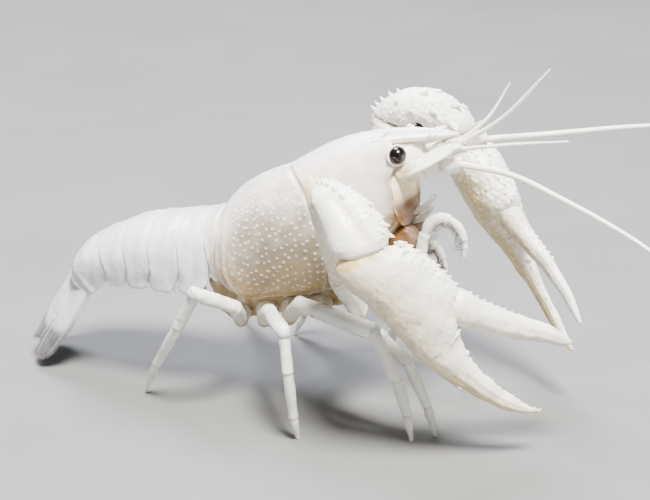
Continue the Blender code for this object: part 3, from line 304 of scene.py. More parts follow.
def sockets(distance: Array, ends: list, depth: float = 0.16, width: float = 0.3) -> Array:
    """Share of the radius that is left where one segment of a limb slips into the next.

    Args:
        distance: distance along the limb at each ring.
        ends: distance of each joint.
        depth: how far the radius drops at a joint, as a share.
        width: length of the narrow neck.

    Returns:
        Factor for the radius: a flared rim, a sharp drop and a slow rise.
    """
    factor = np.ones(len(distance))
    for end in ends:
        after = distance - end
        factor += 0.05 * bell(after, -0.45, 0.35)
        factor -= depth * step(after, -0.12, 0.0) * (1 - step(after, width, width + 1.3))
    return factor


def necks(distance: Array, ends: list, behind: float, width: float) -> Array:
    """Mask of the bands beside the joints of a limb."""
    return sum((bell(distance, end + behind, width) for end in ends), 0 * distance)


def limb(joints: list, radii: list, start_normal: Array, end_normal: Array, sides: int,
         flatness: float, pitch: float, soften: float = 0.0) -> tuple[Array, Array, Array]:
    """Jointed limb with a socket at each joint, on the same axis as its solid.

    Args:
        joints: places of the joints.
        radii: half size at the start, middle and end of each stretch.
        start_normal: plane of the first ring.
        end_normal: plane of the last ring.
        sides: points in each ring.
        flatness: width across the bend as a share of the width in it.
        pitch: distance between rings.
        soften: share that the last end draws in, or below zero the first.

    Returns:
        Grid of points, neck mask of each ring, and share of its stretch of each ring.
    """
    joints = [np.asarray(j, float) for j in joints]
    axes = [unit(b - a) for a, b in zip(joints, joints[1:])]
    planes = [unit(start_normal)] + [unit(a + b) for a, b in zip(axes, axes[1:])] + [unit(end_normal)]
    bend = sum((np.cross(a, b) for a, b in zip(axes, axes[1:])), np.zeros(3))
    if np.linalg.norm(bend) < 0.05:
        bend = np.cross(unit(joints[-1] - joints[0]), (0.2, 0.1, 1.0))
    rings, masks, shares = [], [], []
    for k, axis in enumerate(axes):
        across = unit(bend - axis * (bend @ axis))
        up = np.cross(axis, across)
        base, middle, end = radii[k]
        length = np.linalg.norm(joints[k + 1] - joints[k])
        last = k == len(axes) - 1
        for t in np.linspace(0, 1, max(8, int(length / pitch)) + 1)[(k > 0):]:
            radius = float(curve((0, 0.16, 0.5, 0.84, 1), (base, base, middle, end, end), t))
            before, after = length * t, length * (1 - t)
            neck = 0.0 if k == 0 else 1 - step(before, 0.15, 0.9)
            lip = 0.0 if last else 1 - step(after, 0.0, 0.16)
            radius *= 1 - 0.08 * max(neck, lip)
            radius *= 1 + (0.0 if last else 0.03 * bell(after, 0.42, 0.3))
            radius *= 1 - soften * (max(0.0, 1 - after / 1.3) ** 2 if last and soften > 0 else 0.0)
            radius *= 1 + soften * (max(0.0, 1 - before / 1.3) ** 2 if k == 0 and soften < 0 else 0.0)
            loop = ring(np.zeros(3), across, up, radius * flatness, radius, sides)
            lean = np.zeros(sides)
            for plane, weight in ((planes[k], (1 - t) ** 3), (planes[k + 1], t ** 3)):
                lean -= weight * (loop @ plane) / (axis @ plane)
            rings.append(joints[k] + (joints[k + 1] - joints[k]) * t + loop + lean[:, None] * axis)
            masks.append(max(neck, lip))
            shares.append(t)
    return np.array(rings), np.array(masks), np.array(shares)


def linear(colour: str) -> tuple:
    """Linear RGBA of an sRGB hex colour."""
    parts = [int(colour[i:i + 2], 16) / 255 for i in (1, 3, 5)]
    return tuple(p / 12.92 if p <= 0.04045 else ((p + 0.055) / 1.055) ** 2.4 for p in parts) + (1.0,)


def fill(node: bpy.types.Node, inputs: dict) -> None:
    """Give a node's inputs their values, or link sockets to them.

    Args:
        node: the node.
        inputs: input name or number, and the socket or the value that goes into it.
    """
    for key, value in inputs.items():
        if isinstance(value, bpy.types.NodeSocket):
            node.id_data.links.new(value, node.inputs[key])
        else:
            node.inputs[key].default_value = value


def add(tree: bpy.types.NodeTree, kind: str, inputs: dict = None, **settings) -> bpy.types.Node:
    """Add a node.

    Args:
        tree: the node tree.
        kind: node type without its Shader prefix.
        inputs: input name or number, and the socket or the value that goes into it.
        settings: attributes of the node.

    Returns:
        The node.
    """
    node = tree.nodes.new(f"ShaderNode{kind}")
    for key, value in settings.items():
        setattr(node, key, value)
    fill(node, inputs or {})
    return node


@dataclass(frozen=True)
class Finish:
    """What all finishes share: uneven patterns of real sizes, set in the object's own space."""
    name: str

    def patterns(self) -> dict:
        """Size of the lumps in millimetres, low and high value and detail of each pattern."""
        raise NotImplementedError

    def look(self, tree: bpy.types.NodeTree, place: bpy.types.NodeSocket, uneven: dict) -> dict:
        """What goes into the shader's inputs.

        Args:
            tree: the node tree.
            place: place on the object.
            uneven: socket of each pattern.

        Returns:
            Input names with their values or sockets.
        """
        raise NotImplementedError

    def make(self) -> bpy.types.Material:
        """The finish as a material."""
        material = bpy.data.materials.new(self.name)
        material.use_nodes = True
        tree = material.node_tree
        place = add(tree, "TexCoord").outputs["Object"]
        uneven = {}
        for key, (size, low, high, detail) in self.patterns().items():
            lumps = add(tree, "TexNoise", {"Vector": place, "Scale": 1000 / size, "Detail": detail})
            uneven[key] = add(tree, "MapRange", {"Value": lumps.outputs["Fac"], "From Min": 0.3,
                                                 "From Max": 0.7, "To Min": low, "To Max": high}).outputs[0]
        fill(tree.nodes["Principled BSDF"], self.look(tree, place, uneven))
        return material


@dataclass(frozen=True)
class ShellFinish(Finish):
    """Living shell: chitin and chalk, thin enough for light to enter it.

    The painted marks of a mesh say where it is pale (edges and granules, and painted highlight on
    edges turned to the light), warm (folds and low parts, where skin and food show through, and
    painted shade in some folds and undersides) and shaded (grey gills or flesh behind the shell,
    and painted shade in grooves, under parts and on sides turned from the light).
    """
    base: str
    shade: str
    warm: str
    pale: str = "#FFFEFA"
    fleck: str = "#B3A878"
    fleck_amount: float = 0.0
    roughness: float = 0.38
    coat: float = 0.18
    depth: float = 1.1             # millimetres that light travels in it
    grain: float = 0.16            # millimetres between its pores
    grain_depth: float = 0.012

    def patterns(self) -> dict:
        """Clouds in the shell, streaks in its warm parts, uneven polish and pores, and flecks."""
        found = {"cloud": (3.2, -0.16, 0.16, 3.0), "streak": (1.3, 0.55, 1.25, 2.0),
                 "polish": (0.9, self.roughness - 0.06, self.roughness + 0.1, 2.0),
                 "lumps": (0.45, 0.0, 1.2, 2.0)}
        if self.fleck_amount:
            found.update(spots=(1.1, -2.2, 1.8, 1.0), patch=(6.0, 0.0, 1.0, 2.0))
        return found

    def look(self, tree: bpy.types.NodeTree, place: bpy.types.NodeSocket, uneven: dict) -> dict:
        """Base colour with shaded, warm, flecked and pale parts laid over it, and fine pores."""
        marks = add(tree, "Attribute", attribute_name="marks").outputs["Color"]
        pale, warm, shade = add(tree, "SeparateColor", {0: marks}).outputs[:3]
        shade = add(tree, "Math", {0: shade, 1: uneven["cloud"]}, operation="ADD", use_clamp=True)
        warm = add(tree, "Math", {0: warm, 1: uneven["streak"]}, operation="MULTIPLY", use_clamp=True)
        layers = [(shade.outputs[0], self.shade), (warm.outputs[0], self.warm)]
        if self.fleck_amount:
            spots = uneven["spots"]
            for factor in (uneven["patch"], self.fleck_amount):
                spots = add(tree, "Math", {0: spots, 1: factor}, operation="MULTIPLY",
                            use_clamp=True).outputs[0]
            layers.append((spots, self.fleck))
        colour = linear(self.base)
        for factor, tint in layers + [(pale, self.pale)]:
            colour = add(tree, "Mix", {0: factor, 6: colour, 7: linear(tint)}, data_type="RGBA").outputs[2]
        pores = add(tree, "TexVoronoi", {"Vector": place, "Scale": 1000 / self.grain}, feature="SMOOTH_F1")
        height = add(tree, "Math", {0: pores.outputs["Distance"], 1: uneven["lumps"]}, operation="ADD")
        bump = add(tree, "Bump", {"Height": height.outputs[0], "Strength": 0.55,
                                  "Distance": self.grain_depth * MM})
        return {"Base Color": colour, "Roughness": uneven["polish"], "Normal": bump.outputs[0], "IOR": 1.55,
                "Subsurface Weight": 0.35, "Subsurface Radius": (1.0, 0.8, 0.62),
                "Subsurface Scale": self.depth * MM, "Coat Weight": self.coat, "Coat Roughness": 0.22}


@dataclass(frozen=True)
class CorneaFinish(Finish):
    """Cornea: hard clear cuticle over black pigment, with thousands of tiny facets."""
    dark: str = "#040304"
    # Brown patches painted as a reflection in the eye.
    painted_glint: str = "#2A120B"
    facet: float = 0.07            # millimetres, coarser than real ones so that they show

    def patterns(self) -> dict:
        """A faint brown painted reflection and uneven polish."""
        return {"painted_glint": (1.1, 0.0, 0.4, 2.0), "polish": (0.4, 0.16, 0.22, 2.0)}

    def look(self, tree: bpy.types.NodeTree, place: bpy.types.NodeSocket, uneven: dict) -> dict:
        """Black with a brown painted reflection under a glossy faceted surface."""
        colour = add(tree, "Mix", {0: uneven["painted_glint"], 6: linear(self.dark), 7: linear(self.painted_glint)},
                     data_type="RGBA")
        facets = add(tree, "TexVoronoi", {"Vector": place, "Scale": 1000 / self.facet})
        bump = add(tree, "Bump", {"Height": facets.outputs["Distance"], "Strength": 0.2,
                                  "Distance": 0.002 * MM})
        return {"Base Color": colour.outputs[2], "Roughness": uneven["polish"], "Normal": bump.outputs[0],
                "IOR": 1.42, "Coat Weight": 0.15, "Coat Roughness": 0.05}


@dataclass(frozen=True)
class BristleFinish(Finish):
    """Bristles: thin chitin, paler to the tip, with light passing through."""
    root: str
    tip: str

    def patterns(self) -> dict:
        """Uneven colour, surface and polish."""
        return {"cloud": (0.8, -0.15, 0.15, 2.0), "barbs": (0.06, 0.0, 1.0, 2.0),
                "polish": (0.5, 0.4, 0.6, 2.0)}

    def look(self, tree: bpy.types.NodeTree, place: bpy.types.NodeSocket, uneven: dict) -> dict:
        """Root colour that turns to the tip's along the pale marks."""
        marks = add(tree, "Attribute", attribute_name="marks").outputs["Color"]
        pale = add(tree, "Math", {0: add(tree, "SeparateColor", {0: marks}).outputs[0],
                                  1: uneven["cloud"]}, operation="ADD", use_clamp=True)
        colour = add(tree, "Mix", {0: pale.outputs[0], 6: linear(self.root), 7: linear(self.tip)},
                     data_type="RGBA")
        bump = add(tree, "Bump", {"Height": uneven["barbs"], "Strength": 0.3, "Distance": 0.004 * MM})
        return {"Base Color": colour.outputs[2], "Roughness": uneven["polish"], "Normal": bump.outputs[0],
                "Subsurface Weight": 0.3, "Subsurface Scale": 0.3 * MM}


@dataclass(frozen=True)
class PaintFinish(Finish):
    """Matt painted board of the floor, with the faintest unevenness."""
    first: str
    second: str

    def patterns(self) -> dict:
        """Broad clouds of colour and fine changes of the matt surface."""
        return {"cloud": (40.0, 0.0, 1.0, 2.0), "polish": (6.0, 0.75, 0.85, 2.0)}

    def look(self, tree: bpy.types.NodeTree, place: bpy.types.NodeSocket, uneven: dict) -> dict:
        """Two greys that blend."""
        colour = add(tree, "Mix", {0: uneven["cloud"], 6: linear(self.first), 7: linear(self.second)},
                     data_type="RGBA")
        return {"Base Color": colour.outputs[2], "Roughness": uneven["polish"]}


# Grown thin and little chalked: gills and flesh behind it turn the flanks grey and ochre, and painted shade
# darkens them further towards the belly.
CARAPACE_SHELL = ShellFinish("carapace_chitin_translucent", "#F3EEEC", "#887B65", "#A0824F", coat=0.2)
# Thinnest of all, so the mouth's brown and the ochre cheeks show in it without a blur.
HEAD_SHELL = ShellFinish("head_chitin_thin", "#F6F0EA", "#6A3C08", "#F8CC76", depth=0.5)
# Thick and full of chalk: bright white, with faint olive flecks, and warm undersides that are painted shade.
CLAW_SHELL = ShellFinish("claw_chitin_thick_chalky", "#F9F7EF", "#CFC5B0", "#CBB172",
                         fleck_amount=0.32, roughness=0.4, depth=0.8)
# Narrow tubes with a grey core of muscle under milky walls.
LEG_SHELL = ShellFinish("leg_chitin_milky", "#F1F1EC", "#A3A199", "#B79E6C", depth=0.9)
# Smooth overlapping rings, cool and faintly lavender from the muscle below.
TAIL_SHELL = ShellFinish("abdomen_chitin_lavender", "#E3E2E8", "#A9A8B4", "#C9B88C", depth=1.2)
# Thin hard sheets with a wet gloss that turn glassy grey beyond the suture.
FAN_SHELL = ShellFinish("tail_fan_chitin_glassy", "#E8E8F1", "#55555C", "#BDB49C", roughness=0.32,
                        coat=0.3, depth=1.4)
# Hundreds of short rings: pale bands with ochre between them.
FEELER_SHELL = ShellFinish("feeler_chitin_ringed", "#F1F0E8", "#CFCBBE", "#CDB98C", depth=0.6)
# Soft skin without chalk, folded and dull, darker deep ochre in the folds as painted shade.
JOINT_SKIN = ShellFinish("joint_skin_wrinkled", "#CDB98E", "#8A724C", "#94703A", roughness=0.5,
                         coat=0.05, grain=0.3, grain_depth=0.04)
# Dense horn that hardly lets light in: brown, darker to the biting edge.
JAW_HORN = ShellFinish("jaw_horn_ochre", "#835A28", "#4C2E12", "#6C4618", roughness=0.42, depth=0.2)
# Thin flat palps, grey because the shadow behind them shows.
PALP_SHELL = ShellFinish("palp_chitin_grey", "#BDBAB3", "#8D8B86", "#AFA07C")
CORNEA = CorneaFinish("cornea_over_black_pigment")
# Single hairs of chitin, drawn thicker than real ones so that they show.
FRINGE = BristleFinish("bristles_pale", "#A9A6A0", "#E8E6E0")
DARK_FRINGE = BristleFinish("bristles_grey", "#6D6B6A", "#A9A7A4")
FLOOR_PAINT = PaintFinish("floor_matt_paint", "#6F7071", "#757678")
_MADE: dict = {}


def material_of(finish: Finish) -> bpy.types.Material:
    """The one material of a finish."""
    if finish.name not in _MADE:
        _MADE[finish.name] = finish.make()
    return _MADE[finish.name]


class Piece:
    """One shown object, gathered from grids of points before its mesh is written."""

    def __init__(self, name: str, finish: Finish, slot: Slot, *nodes: str) -> None:
        """Start without points; the nodes are the solids that it stands for."""
        self.name, self.finish, self.slot, self.nodes = name, finish, slot, nodes
        self.points, self.faces, self.marks, self.places = [], [], [], []
        self.total = 0

    def grid(self, points: Array, pale: Array = 0.0, warm: Array = 0.0, shade: Array = 0.0,
             place: tuple = None) -> None:
        """Add a grid of closed rings, with a fan over each end.

        Args:
            points: rows and columns of points.
            pale: pale mark at each point.
            warm: warm mark at each point.
            shade: shade mark at each point.
            place: place of the whole grid on the unwrap, for bristles.
        """
        rows, cols = points.shape[:2]
        marks = np.stack([np.broadcast_to(v, (rows, cols)) for v in (pale, warm, shade)], axis=-1)
        marks = np.clip(marks, 0, 1)
        line = np.arange(rows * cols).reshape(rows, cols)
        line = np.hstack([line, line[:, :1]])
        quads = np.stack([line[:-1, :-1], line[:-1, 1:], line[1:, 1:], line[1:, :-1]], -1).reshape(-1, 4)
        flat = np.vstack([points.reshape(-1, 3), points[0].mean(axis=0), points[-1].mean(axis=0)])
        first, last = rows * cols, rows * cols + 1
        faces = quads.tolist()
        faces += [[int(b), int(a), first] for a, b in zip(line[0, :-1], line[0, 1:])]
        faces += [[int(a), int(b), last] for a, b in zip(line[-1, :-1], line[-1, 1:])]
        corners = flat[quads] - flat.mean(axis=0)
        volume = sum((np.cross(corners[:, k], corners[:, k + 1]) * corners[:, 0]).sum() for k in (1, 2))
        if volume < 0:
            faces = [face[::-1] for face in faces]
        self.faces += [[i + self.total for i in face] for face in faces]
        self.points.append(flat)
        self.marks.append(np.vstack([marks.reshape(-1, 3), marks[0].mean(axis=0), marks[-1].mean(axis=0)]))
        self.total += len(flat)
        if place is not None:
            self.places += [place] * len(faces)

    def stack(self, base: Array, way: Array, bend: Array, steps: list, sides: int,
              place: tuple = None) -> None:
        """Add rings along a direction.

        Args:
            base: where it starts.
            way: direction of length one.
            bend: sideways pull.
            steps: distance along, share of the pull, radius and paleness of each ring.
            sides: points in each ring.
            place: place on the unwrap, for bristles.
        """
        across = unit(np.cross(way, ASKEW))
        up = np.cross(way, across)
        rings = [ring(base + way * reach + np.asarray(bend) * pull, across, up, radius, radius, sides)
                 for reach, pull, radius, _ in steps]
        self.grid(np.array(rings), np.array([s[3] for s in steps])[:, None], place=place)

    def spine(self, base: Array, way: Array, radius: float, height: float, bend: Array = (0, 0, 0)) -> None:
        """Add a spine with a flared root and a rounded point.

        Args:
            base: its foot.
            way: where it points.
            radius: radius at the foot.
            height: its length.
            bend: sideways pull at the tip.
        """
        shape = ((-0.35, 1.25), (0.0, 1.0), (0.15, 0.82), (0.35, 0.62), (0.6, 0.42), (0.82, 0.24),
                 (0.95, 0.13), (1.0, 0.05))
        self.stack(base, unit(way), bend, [(height * t, max(0.0, t) ** 2, radius * width, max(0.0, t))
                                           for t, width in shape], 12)

    def knob(self, centre: Array, way: Array, radius: float, flat: float = 0.7) -> None:
        """Add a rounded knuckle.

        Args:
            centre: its middle.
            way: its axis.
            radius: radius across the axis.
            flat: half height as a share of the radius.
        """
        self.stack(centre, unit(way), (0, 0, 0), [(radius * flat * math.sin(a), 0, radius * math.cos(a), 0.5)
                                                  for a in np.radians(np.linspace(-80, 80, 11))], 16)

    def bristle(self, root: Array, way: Array, bend: Array, length: float, radius: float,
                place: tuple) -> None:
        """Add one bristle that curves to its tip.

        Args:
            root: where it grows.
            way: where it points.
            bend: sideways pull, as a share of its length.
            length: its length.
            radius: radius at the root.
            place: place on the unwrap.
        """
        self.stack(root, unit(way), bend, [(length * t, length * t * t, radius * (1 - 0.85 * t), t)
                                           for t in (0.0, 0.35, 0.7, 1.0)], 4, place)

    def build(self, shift: Array) -> None:
        """Write the mesh and hand it to the frame.

        Args:
            shift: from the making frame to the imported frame.
        """
        mesh = bpy.data.meshes.new(self.name)
        vertices = (np.concatenate(self.points) + shift) * MM
        vertices[:, 2] = np.maximum(vertices[:, 2], 0.0)
        mesh.from_pydata(vertices.tolist(), [], self.faces)
        mesh.shade_smooth()
        tone = np.concatenate([np.concatenate(self.marks), np.ones((self.total, 1))], axis=1)
        marks = mesh.attributes.new("marks", "FLOAT_COLOR", "POINT")
        marks.data.foreach_set("color", tone.astype(np.float32).ravel())
        if self.places:
            self.unwrap(mesh)
        item = bpy.data.objects.new(self.name, mesh)
        bpy.context.collection.objects.link(item)
        mesh.materials.append(material_of(self.finish))
        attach(item, "root")
        if self.nodes:
            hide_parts(*self.nodes)

    def unwrap(self, mesh: bpy.types.Mesh) -> None:
        """Give every bristle its own small patch of the map.

        Args:
            mesh: the written mesh.
        """
        layer = mesh.uv_layers.new(name="OFBake")
        spots = []
        for face, place in zip(self.faces, self.places):
            for k, _ in enumerate(face):
                spots += [place[0] + PATCH * (k in (1, 2)), place[1] + PATCH * (k in (2, 3))]
        layer.data.foreach_set("uv", np.array(spots, np.float32))


@dataclass
class Assembly:
    """A group of pieces that are shaped and dressed together."""
    pieces: list = field(default_factory=list, init=False)

    def piece(self, name: str, finish: Finish, slot: Slot, *nodes: str) -> Piece:
        """Start a piece."""
        self.pieces.append(Piece(name, finish, slot, *nodes))
        return self.pieces[-1]

    def build(self) -> None:
        """Shape the pieces; each kind of assembly does this in its own way."""
        raise NotImplementedError

    def dress(self, shift: Array) -> None:
        """Write the meshes with their finishes.

        Args:
            shift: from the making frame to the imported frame.
        """
        for piece in self.pieces:
            piece.build(shift)
            LOG.info("%s: %d points", piece.name, piece.total)


@dataclass
class Carapace(Assembly):
    """Shell over head and thorax, with the beak, the grooves and rows of granules."""
    along: tuple = (0.15, 2.0, 7.0, 14.6, 20.0, 25.0, 30.0, 33.0)
    back: tuple = (0.1, 1.6, 3.6, 4.6, 5.8, 6.6, 6.5, 5.9)
    half_width: tuple = (8.7, 9.6, 10.6, 10.9, 10.2, 9.1, 7.7, 6.7)
    belly: tuple = (-13.2, -15.9, -17.9, -18.7, -18.2, -15.6, -11.8, -9.6)
    squareness: tuple = (2.15, 2.9)  # of the back and of the flanks
    waist: float = 0.46
    groove: float = 14.6
    groove_depth: float = 0.32
    groove_width: float = 0.4
    sweep: float = 6.4
    sweep_reach: float = 7.0
    rear_sweep: float = 3.3        # how far the rear edge reaches back low on the flanks
    front_sweep: float = 3.0
    orbit: tuple = (2.6, 1.5, 0.9)  # height, half height and depth of the bay behind the eye
    rows: int = 240
    columns: int = 440
    granule_spacing: float = 1.3
    granule_radius: float = 0.3
    granule_height: float = 0.15
    beak: tuple = (27.5, 42.5, 46.2)  # where it starts, narrows to the point and ends
    beak_width: tuple = (4.1, 2.2)
    beak_back: tuple = (6.6, 2.6)
    trough: float = 0.7
    beak_depth: float = 1.9

    def beak_values(self, along: Array) -> tuple:
        """Size of the beak.

        Args:
            along: places along the body.

        Returns:
            Half width, top and share of full size at each place.
        """
        start, shoulder, tip = self.beak
        t = np.clip((along - start) / (tip - start), 0, 1)
        before = np.clip((along - start) / (shoulder - start), 0, 1)
        half = self.beak_width[0] + (self.beak_width[1] - self.beak_width[0]) * before ** 1.4
        half = half * np.where(along > shoulder, np.clip((tip - along) / (tip - shoulder), 0.03, 1), 1.0)
        top = self.beak_back[0] + (self.beak_back[1] - self.beak_back[0]) * t ** 1.5
        return half, top - 0.4 * np.sin(np.pi * np.sqrt(t)), half / self.beak_width[0]

    def surface(self) -> tuple[Array, Array, Array, Array]:
        """The bare shell, with flank, rise and place along at every point."""
        angle = np.linspace(-np.pi / 2, 1.5 * np.pi, 2401)
        flank, rise = np.cos(angle), np.sin(angle)
        square = np.where(rise > 0, *self.squareness)
        stations = np.linspace(self.along[0], self.along[-1] - 0.15, self.rows)
        table = curve(self.along, np.array([self.back, self.half_width, self.belly]).T, stations)
        rings = []
        for back, half, belly in table:
            waist = belly + self.waist * (back - belly)
            depth = np.where(rise > 0, back - waist, waist - belly)
            line = np.stack([half * power(flank, 2 / square), waist + depth * power(rise, 2 / square)], 1)
            at = lengths(line)
            even = np.linspace(0, at[-1], self.columns, False)
            rings.append([np.interp(even, at, v) for v in (*line.T, angle)])
        out, height, angle = np.moveaxis(np.array(rings), 1, 0)
        flank, rise = np.cos(angle), np.sin(angle)
        along = np.repeat(stations[:, None], self.columns, axis=1)
        # The groove and the shell with it sweep forward on the flanks, the rear edge sweeps back.
        fade = bell(along, self.groove, self.sweep_reach) * np.clip(along / self.groove, 0, 1) ** 0.5
        bend = self.sweep * fade * np.abs(flank) ** 1.3 * np.where(rise > 0, 1.0, 1 + 0.35 * rise)
        bend -= self.rear_sweep * step(along, 9.0, 0.0) * step(height, 1.5, -11.0)
        front = step(along, 25.0, 33.0) * step(height, -9.5, -1.0) * step(height, 6.2, 4.2)
        orbit = bell(height, *self.orbit[:2]) * step(np.abs(out), 2.8, 4.4)
        bend += front * (self.front_sweep * (0.4 + 0.6 * step(height, -1.5, 2.0)) - self.orbit[2] * orbit)
        # The root of the beak rises out of the back as a soft crest.
        half_beak, top, _ = self.beak_values(along)
        crest = top + np.interp(np.abs(out) / half_beak, (0, 0.45, 0.72, 1.0, 1.45, 1.9, 4.0),
                                (-0.8, -0.8, 0.0, -0.5, -2.8, -8.0, -20.0)) - 9.0 * step(along, 30.5, 24.0)
        crest = 0.5 * (height + crest + np.sqrt((height - crest) ** 2 + 0.12)) - 0.03
        return body(along + bend, out, np.where(rise > 0.3, crest, height)), flank, rise, along

    def granules(self, points: Array, rise: Array, along: Array) -> tuple[Array, Array]:
        """Granules of the shell.

        Args:
            points: the bare shell.
            rise: 1 on the back to -1 on the belly.
            along: place along the body.

        Returns:
            Height and mask at every point.
        """
        def grown(row: Array, column: Array) -> Array:
            """Size at shares of the shell: smaller low down and in front, none at the edges."""
            cell = tuple(np.clip((share * count).astype(int), 0, count - 1)
                         for share, count in zip((row, column), points.shape))
            local, high = along[cell], rise[cell]
            size = 0.8 + 0.2 * step(high, 0.97, 0.6) - 0.42 * step(high, -0.35, -0.85)
            size *= np.where(local > self.groove, 0.6 + 0.3 * step(local, 24, 16), 1.0)
            return size * step(local, 2.2, 4.2) * (np.abs(local - self.groove) > 0.6) * (local < 28.0)
        return tubercles(points, self.granule_spacing, (11, 5), grown, (0.78, 1.1, 0.06),
                         self.granule_radius, self.granule_height)

    def build(self) -> None:
        """Shell with grooves, rims and granules, then the beak and its spines."""
        shell = self.piece("carapace_shell", CARAPACE_SHELL, Slot.BODY, "carapace")
        points, flank, rise, along = self.surface()
        pitch = math.radians(BODY_PITCH)
        height = (points[..., 2] - REAR_Z) * math.cos(pitch) - (points[..., 0] - REAR_X) * math.sin(pitch)
        domes, mask = self.granules(points, rise, along)
        groove = bell(along, self.groove, self.groove_width) * step(rise, -0.95, -0.7)
        gill_line = bell(np.abs(flank), 0.13 + 0.05 * np.abs(along - 7) / 7, 0.022) * (rise > 0)
        folds = 0.5 + 0.5 * np.sin(along * 5.6 + 0.5 * ripple(points, 5.0, 2))
        hem = bell(rise, -0.8, 0.03) * step(along, 1.5, 4.0)
        lift = domes - self.groove_depth * groove
        lift -= 0.1 * gill_line * step(along, 2.5, 4.0) * step(along, 13.6, 12.4)
        lift += 0.05 * folds * step(along, 3.4, 2.4) + 0.07 * bell(along, 0.35, 0.3)
        lift += 0.1 * hem - 0.1 * bell(rise, -0.72, 0.03) * step(along, 1.5, 4.0)
        lift += 0.05 * ripple(points, 4.5, 3) + 0.02 * ripple(points, 1.3, 4)

        behind = step(along, self.groove + 3.0, self.groove - 1.0)
        # Shade mark: the shell darker towards the belly, partly its own grey, partly painted shade as the
        # light falls from above.
        shade = (0.12 + 0.88 * step(height, 8.0, -9.0)) * (0.34 + 0.66 * behind) * step(along, 1.0, 6.0)
        # Painted shade in the groove.
        shade += 0.3 * groove
        warm = step(height, -7.0, -15.0) * (0.2 + 0.65 * behind)
        warm += 0.85 * behind * step(along, 6.5, 1.5) * step(height, 2.0, -9.0)
        warm += step(along, 29.3, 31.4) * step(height, -5.5, -8.5)
        warm += 0.28 * step(along, 29.0, 32.0) * bell(height, 1.5, 2.2)
        warm += 0.7 * step(along, 31.4, 32.8) * step(height, 1.5, -1.5)
        pale = (0.85 - 0.35 * step(height, -7.0, -14.0)) * mask ** 2 + 0.3 * hem
        # Painted highlight along the groove's rear edge.
        pale += 0.2 * bell(along, self.groove - 0.7, 0.2)
        # Painted light: the top of the back a little paler; the rear rim is paler too.
        pale += 0.12 * step(height, 2.0, 5.5) + 0.3 * bell(along, 0.4, 0.3)
        pale += 0.35 * folds * step(along, 3.6, 2.6)
        points = raised(points, lift)

        def inner(at: int, shrink: float, forward: float) -> Array:
            """A ring inside the shell's edge."""
            middle = points[at].mean(axis=0)
            return middle + (points[at] - middle) * shrink + body_direction(1, 0, 0) * forward

        front = [inner(-1, 0.975, 0.12), inner(-1, 0.93, -0.1), inner(-1, 0.9, -1.6)]
        rear = [inner(0, 0.9, 1.6), inner(0, 0.93, 0.1), inner(0, 0.975, -0.12)]
        shell.grid(np.concatenate([rear, points, front]),
                   *(np.pad(v, ((3, 3), (0, 0)), mode="edge") for v in (pale, warm, shade)))
        self.build_beak(shell)

    def build_beak(self, shell: Piece) -> None:
        """Beak with raised edges and a trough, and the two side spines.

        Args:
            shell: piece of the carapace.
        """
        along = np.linspace(self.beak[0] + 2.4, self.beak[2], 90)
        half, top, share = self.beak_values(along)
        across = taper(25, (1.0, 0.86, 0.72, 0.58, 0.45, 0.2, 0.0))
        rise = taper(25, (0.0, 0.22, 0.25, -0.05 * self.trough, -0.9 * self.trough, -self.trough,
                          -self.trough))
        under = np.linspace(-1, 1, 22)[1:-1]
        out = np.concatenate([across, -across[-2::-1], under])
        high = np.concatenate([rise, rise[-2::-1], -(1 - under ** 2) ** 0.6])
        is_under = np.arange(len(out)) >= len(out) - len(under)
        depth = self.beak_depth * (0.35 + 0.65 * share)
        top = top - 2.4 * step(along, 32.3, 30.6)
        rows = body(along[:, None], half[:, None] * out,
                    top[:, None] + high * np.where(is_under, depth[:, None], share[:, None]))
        # Painted highlight on the beak's raised edges and painted shade on its underside.
        shell.grid(raised(rows, 0.03 * ripple(rows, 1.2, 9)), 0.6 * bell(np.abs(out), 0.82, 0.16) * ~is_under,
                   0.35 * bell(np.abs(out), 0.4, 0.12), 0.12 * is_under)
        for side in SIDES.values():
            shell.spine(body(self.beak[1] - 0.2, 2.05, self.beak_back[1] + 0.95, side),
                        body_direction(0.93, 0.25, 0.08, side), 0.5, 1.5)
            shell.spine(body(22.3, 9.6, -3.2, side), body_direction(0.75, 0.66, 0.0, side), 0.6, 1.4,
                        body_direction(1, 0, 0) * 0.2)


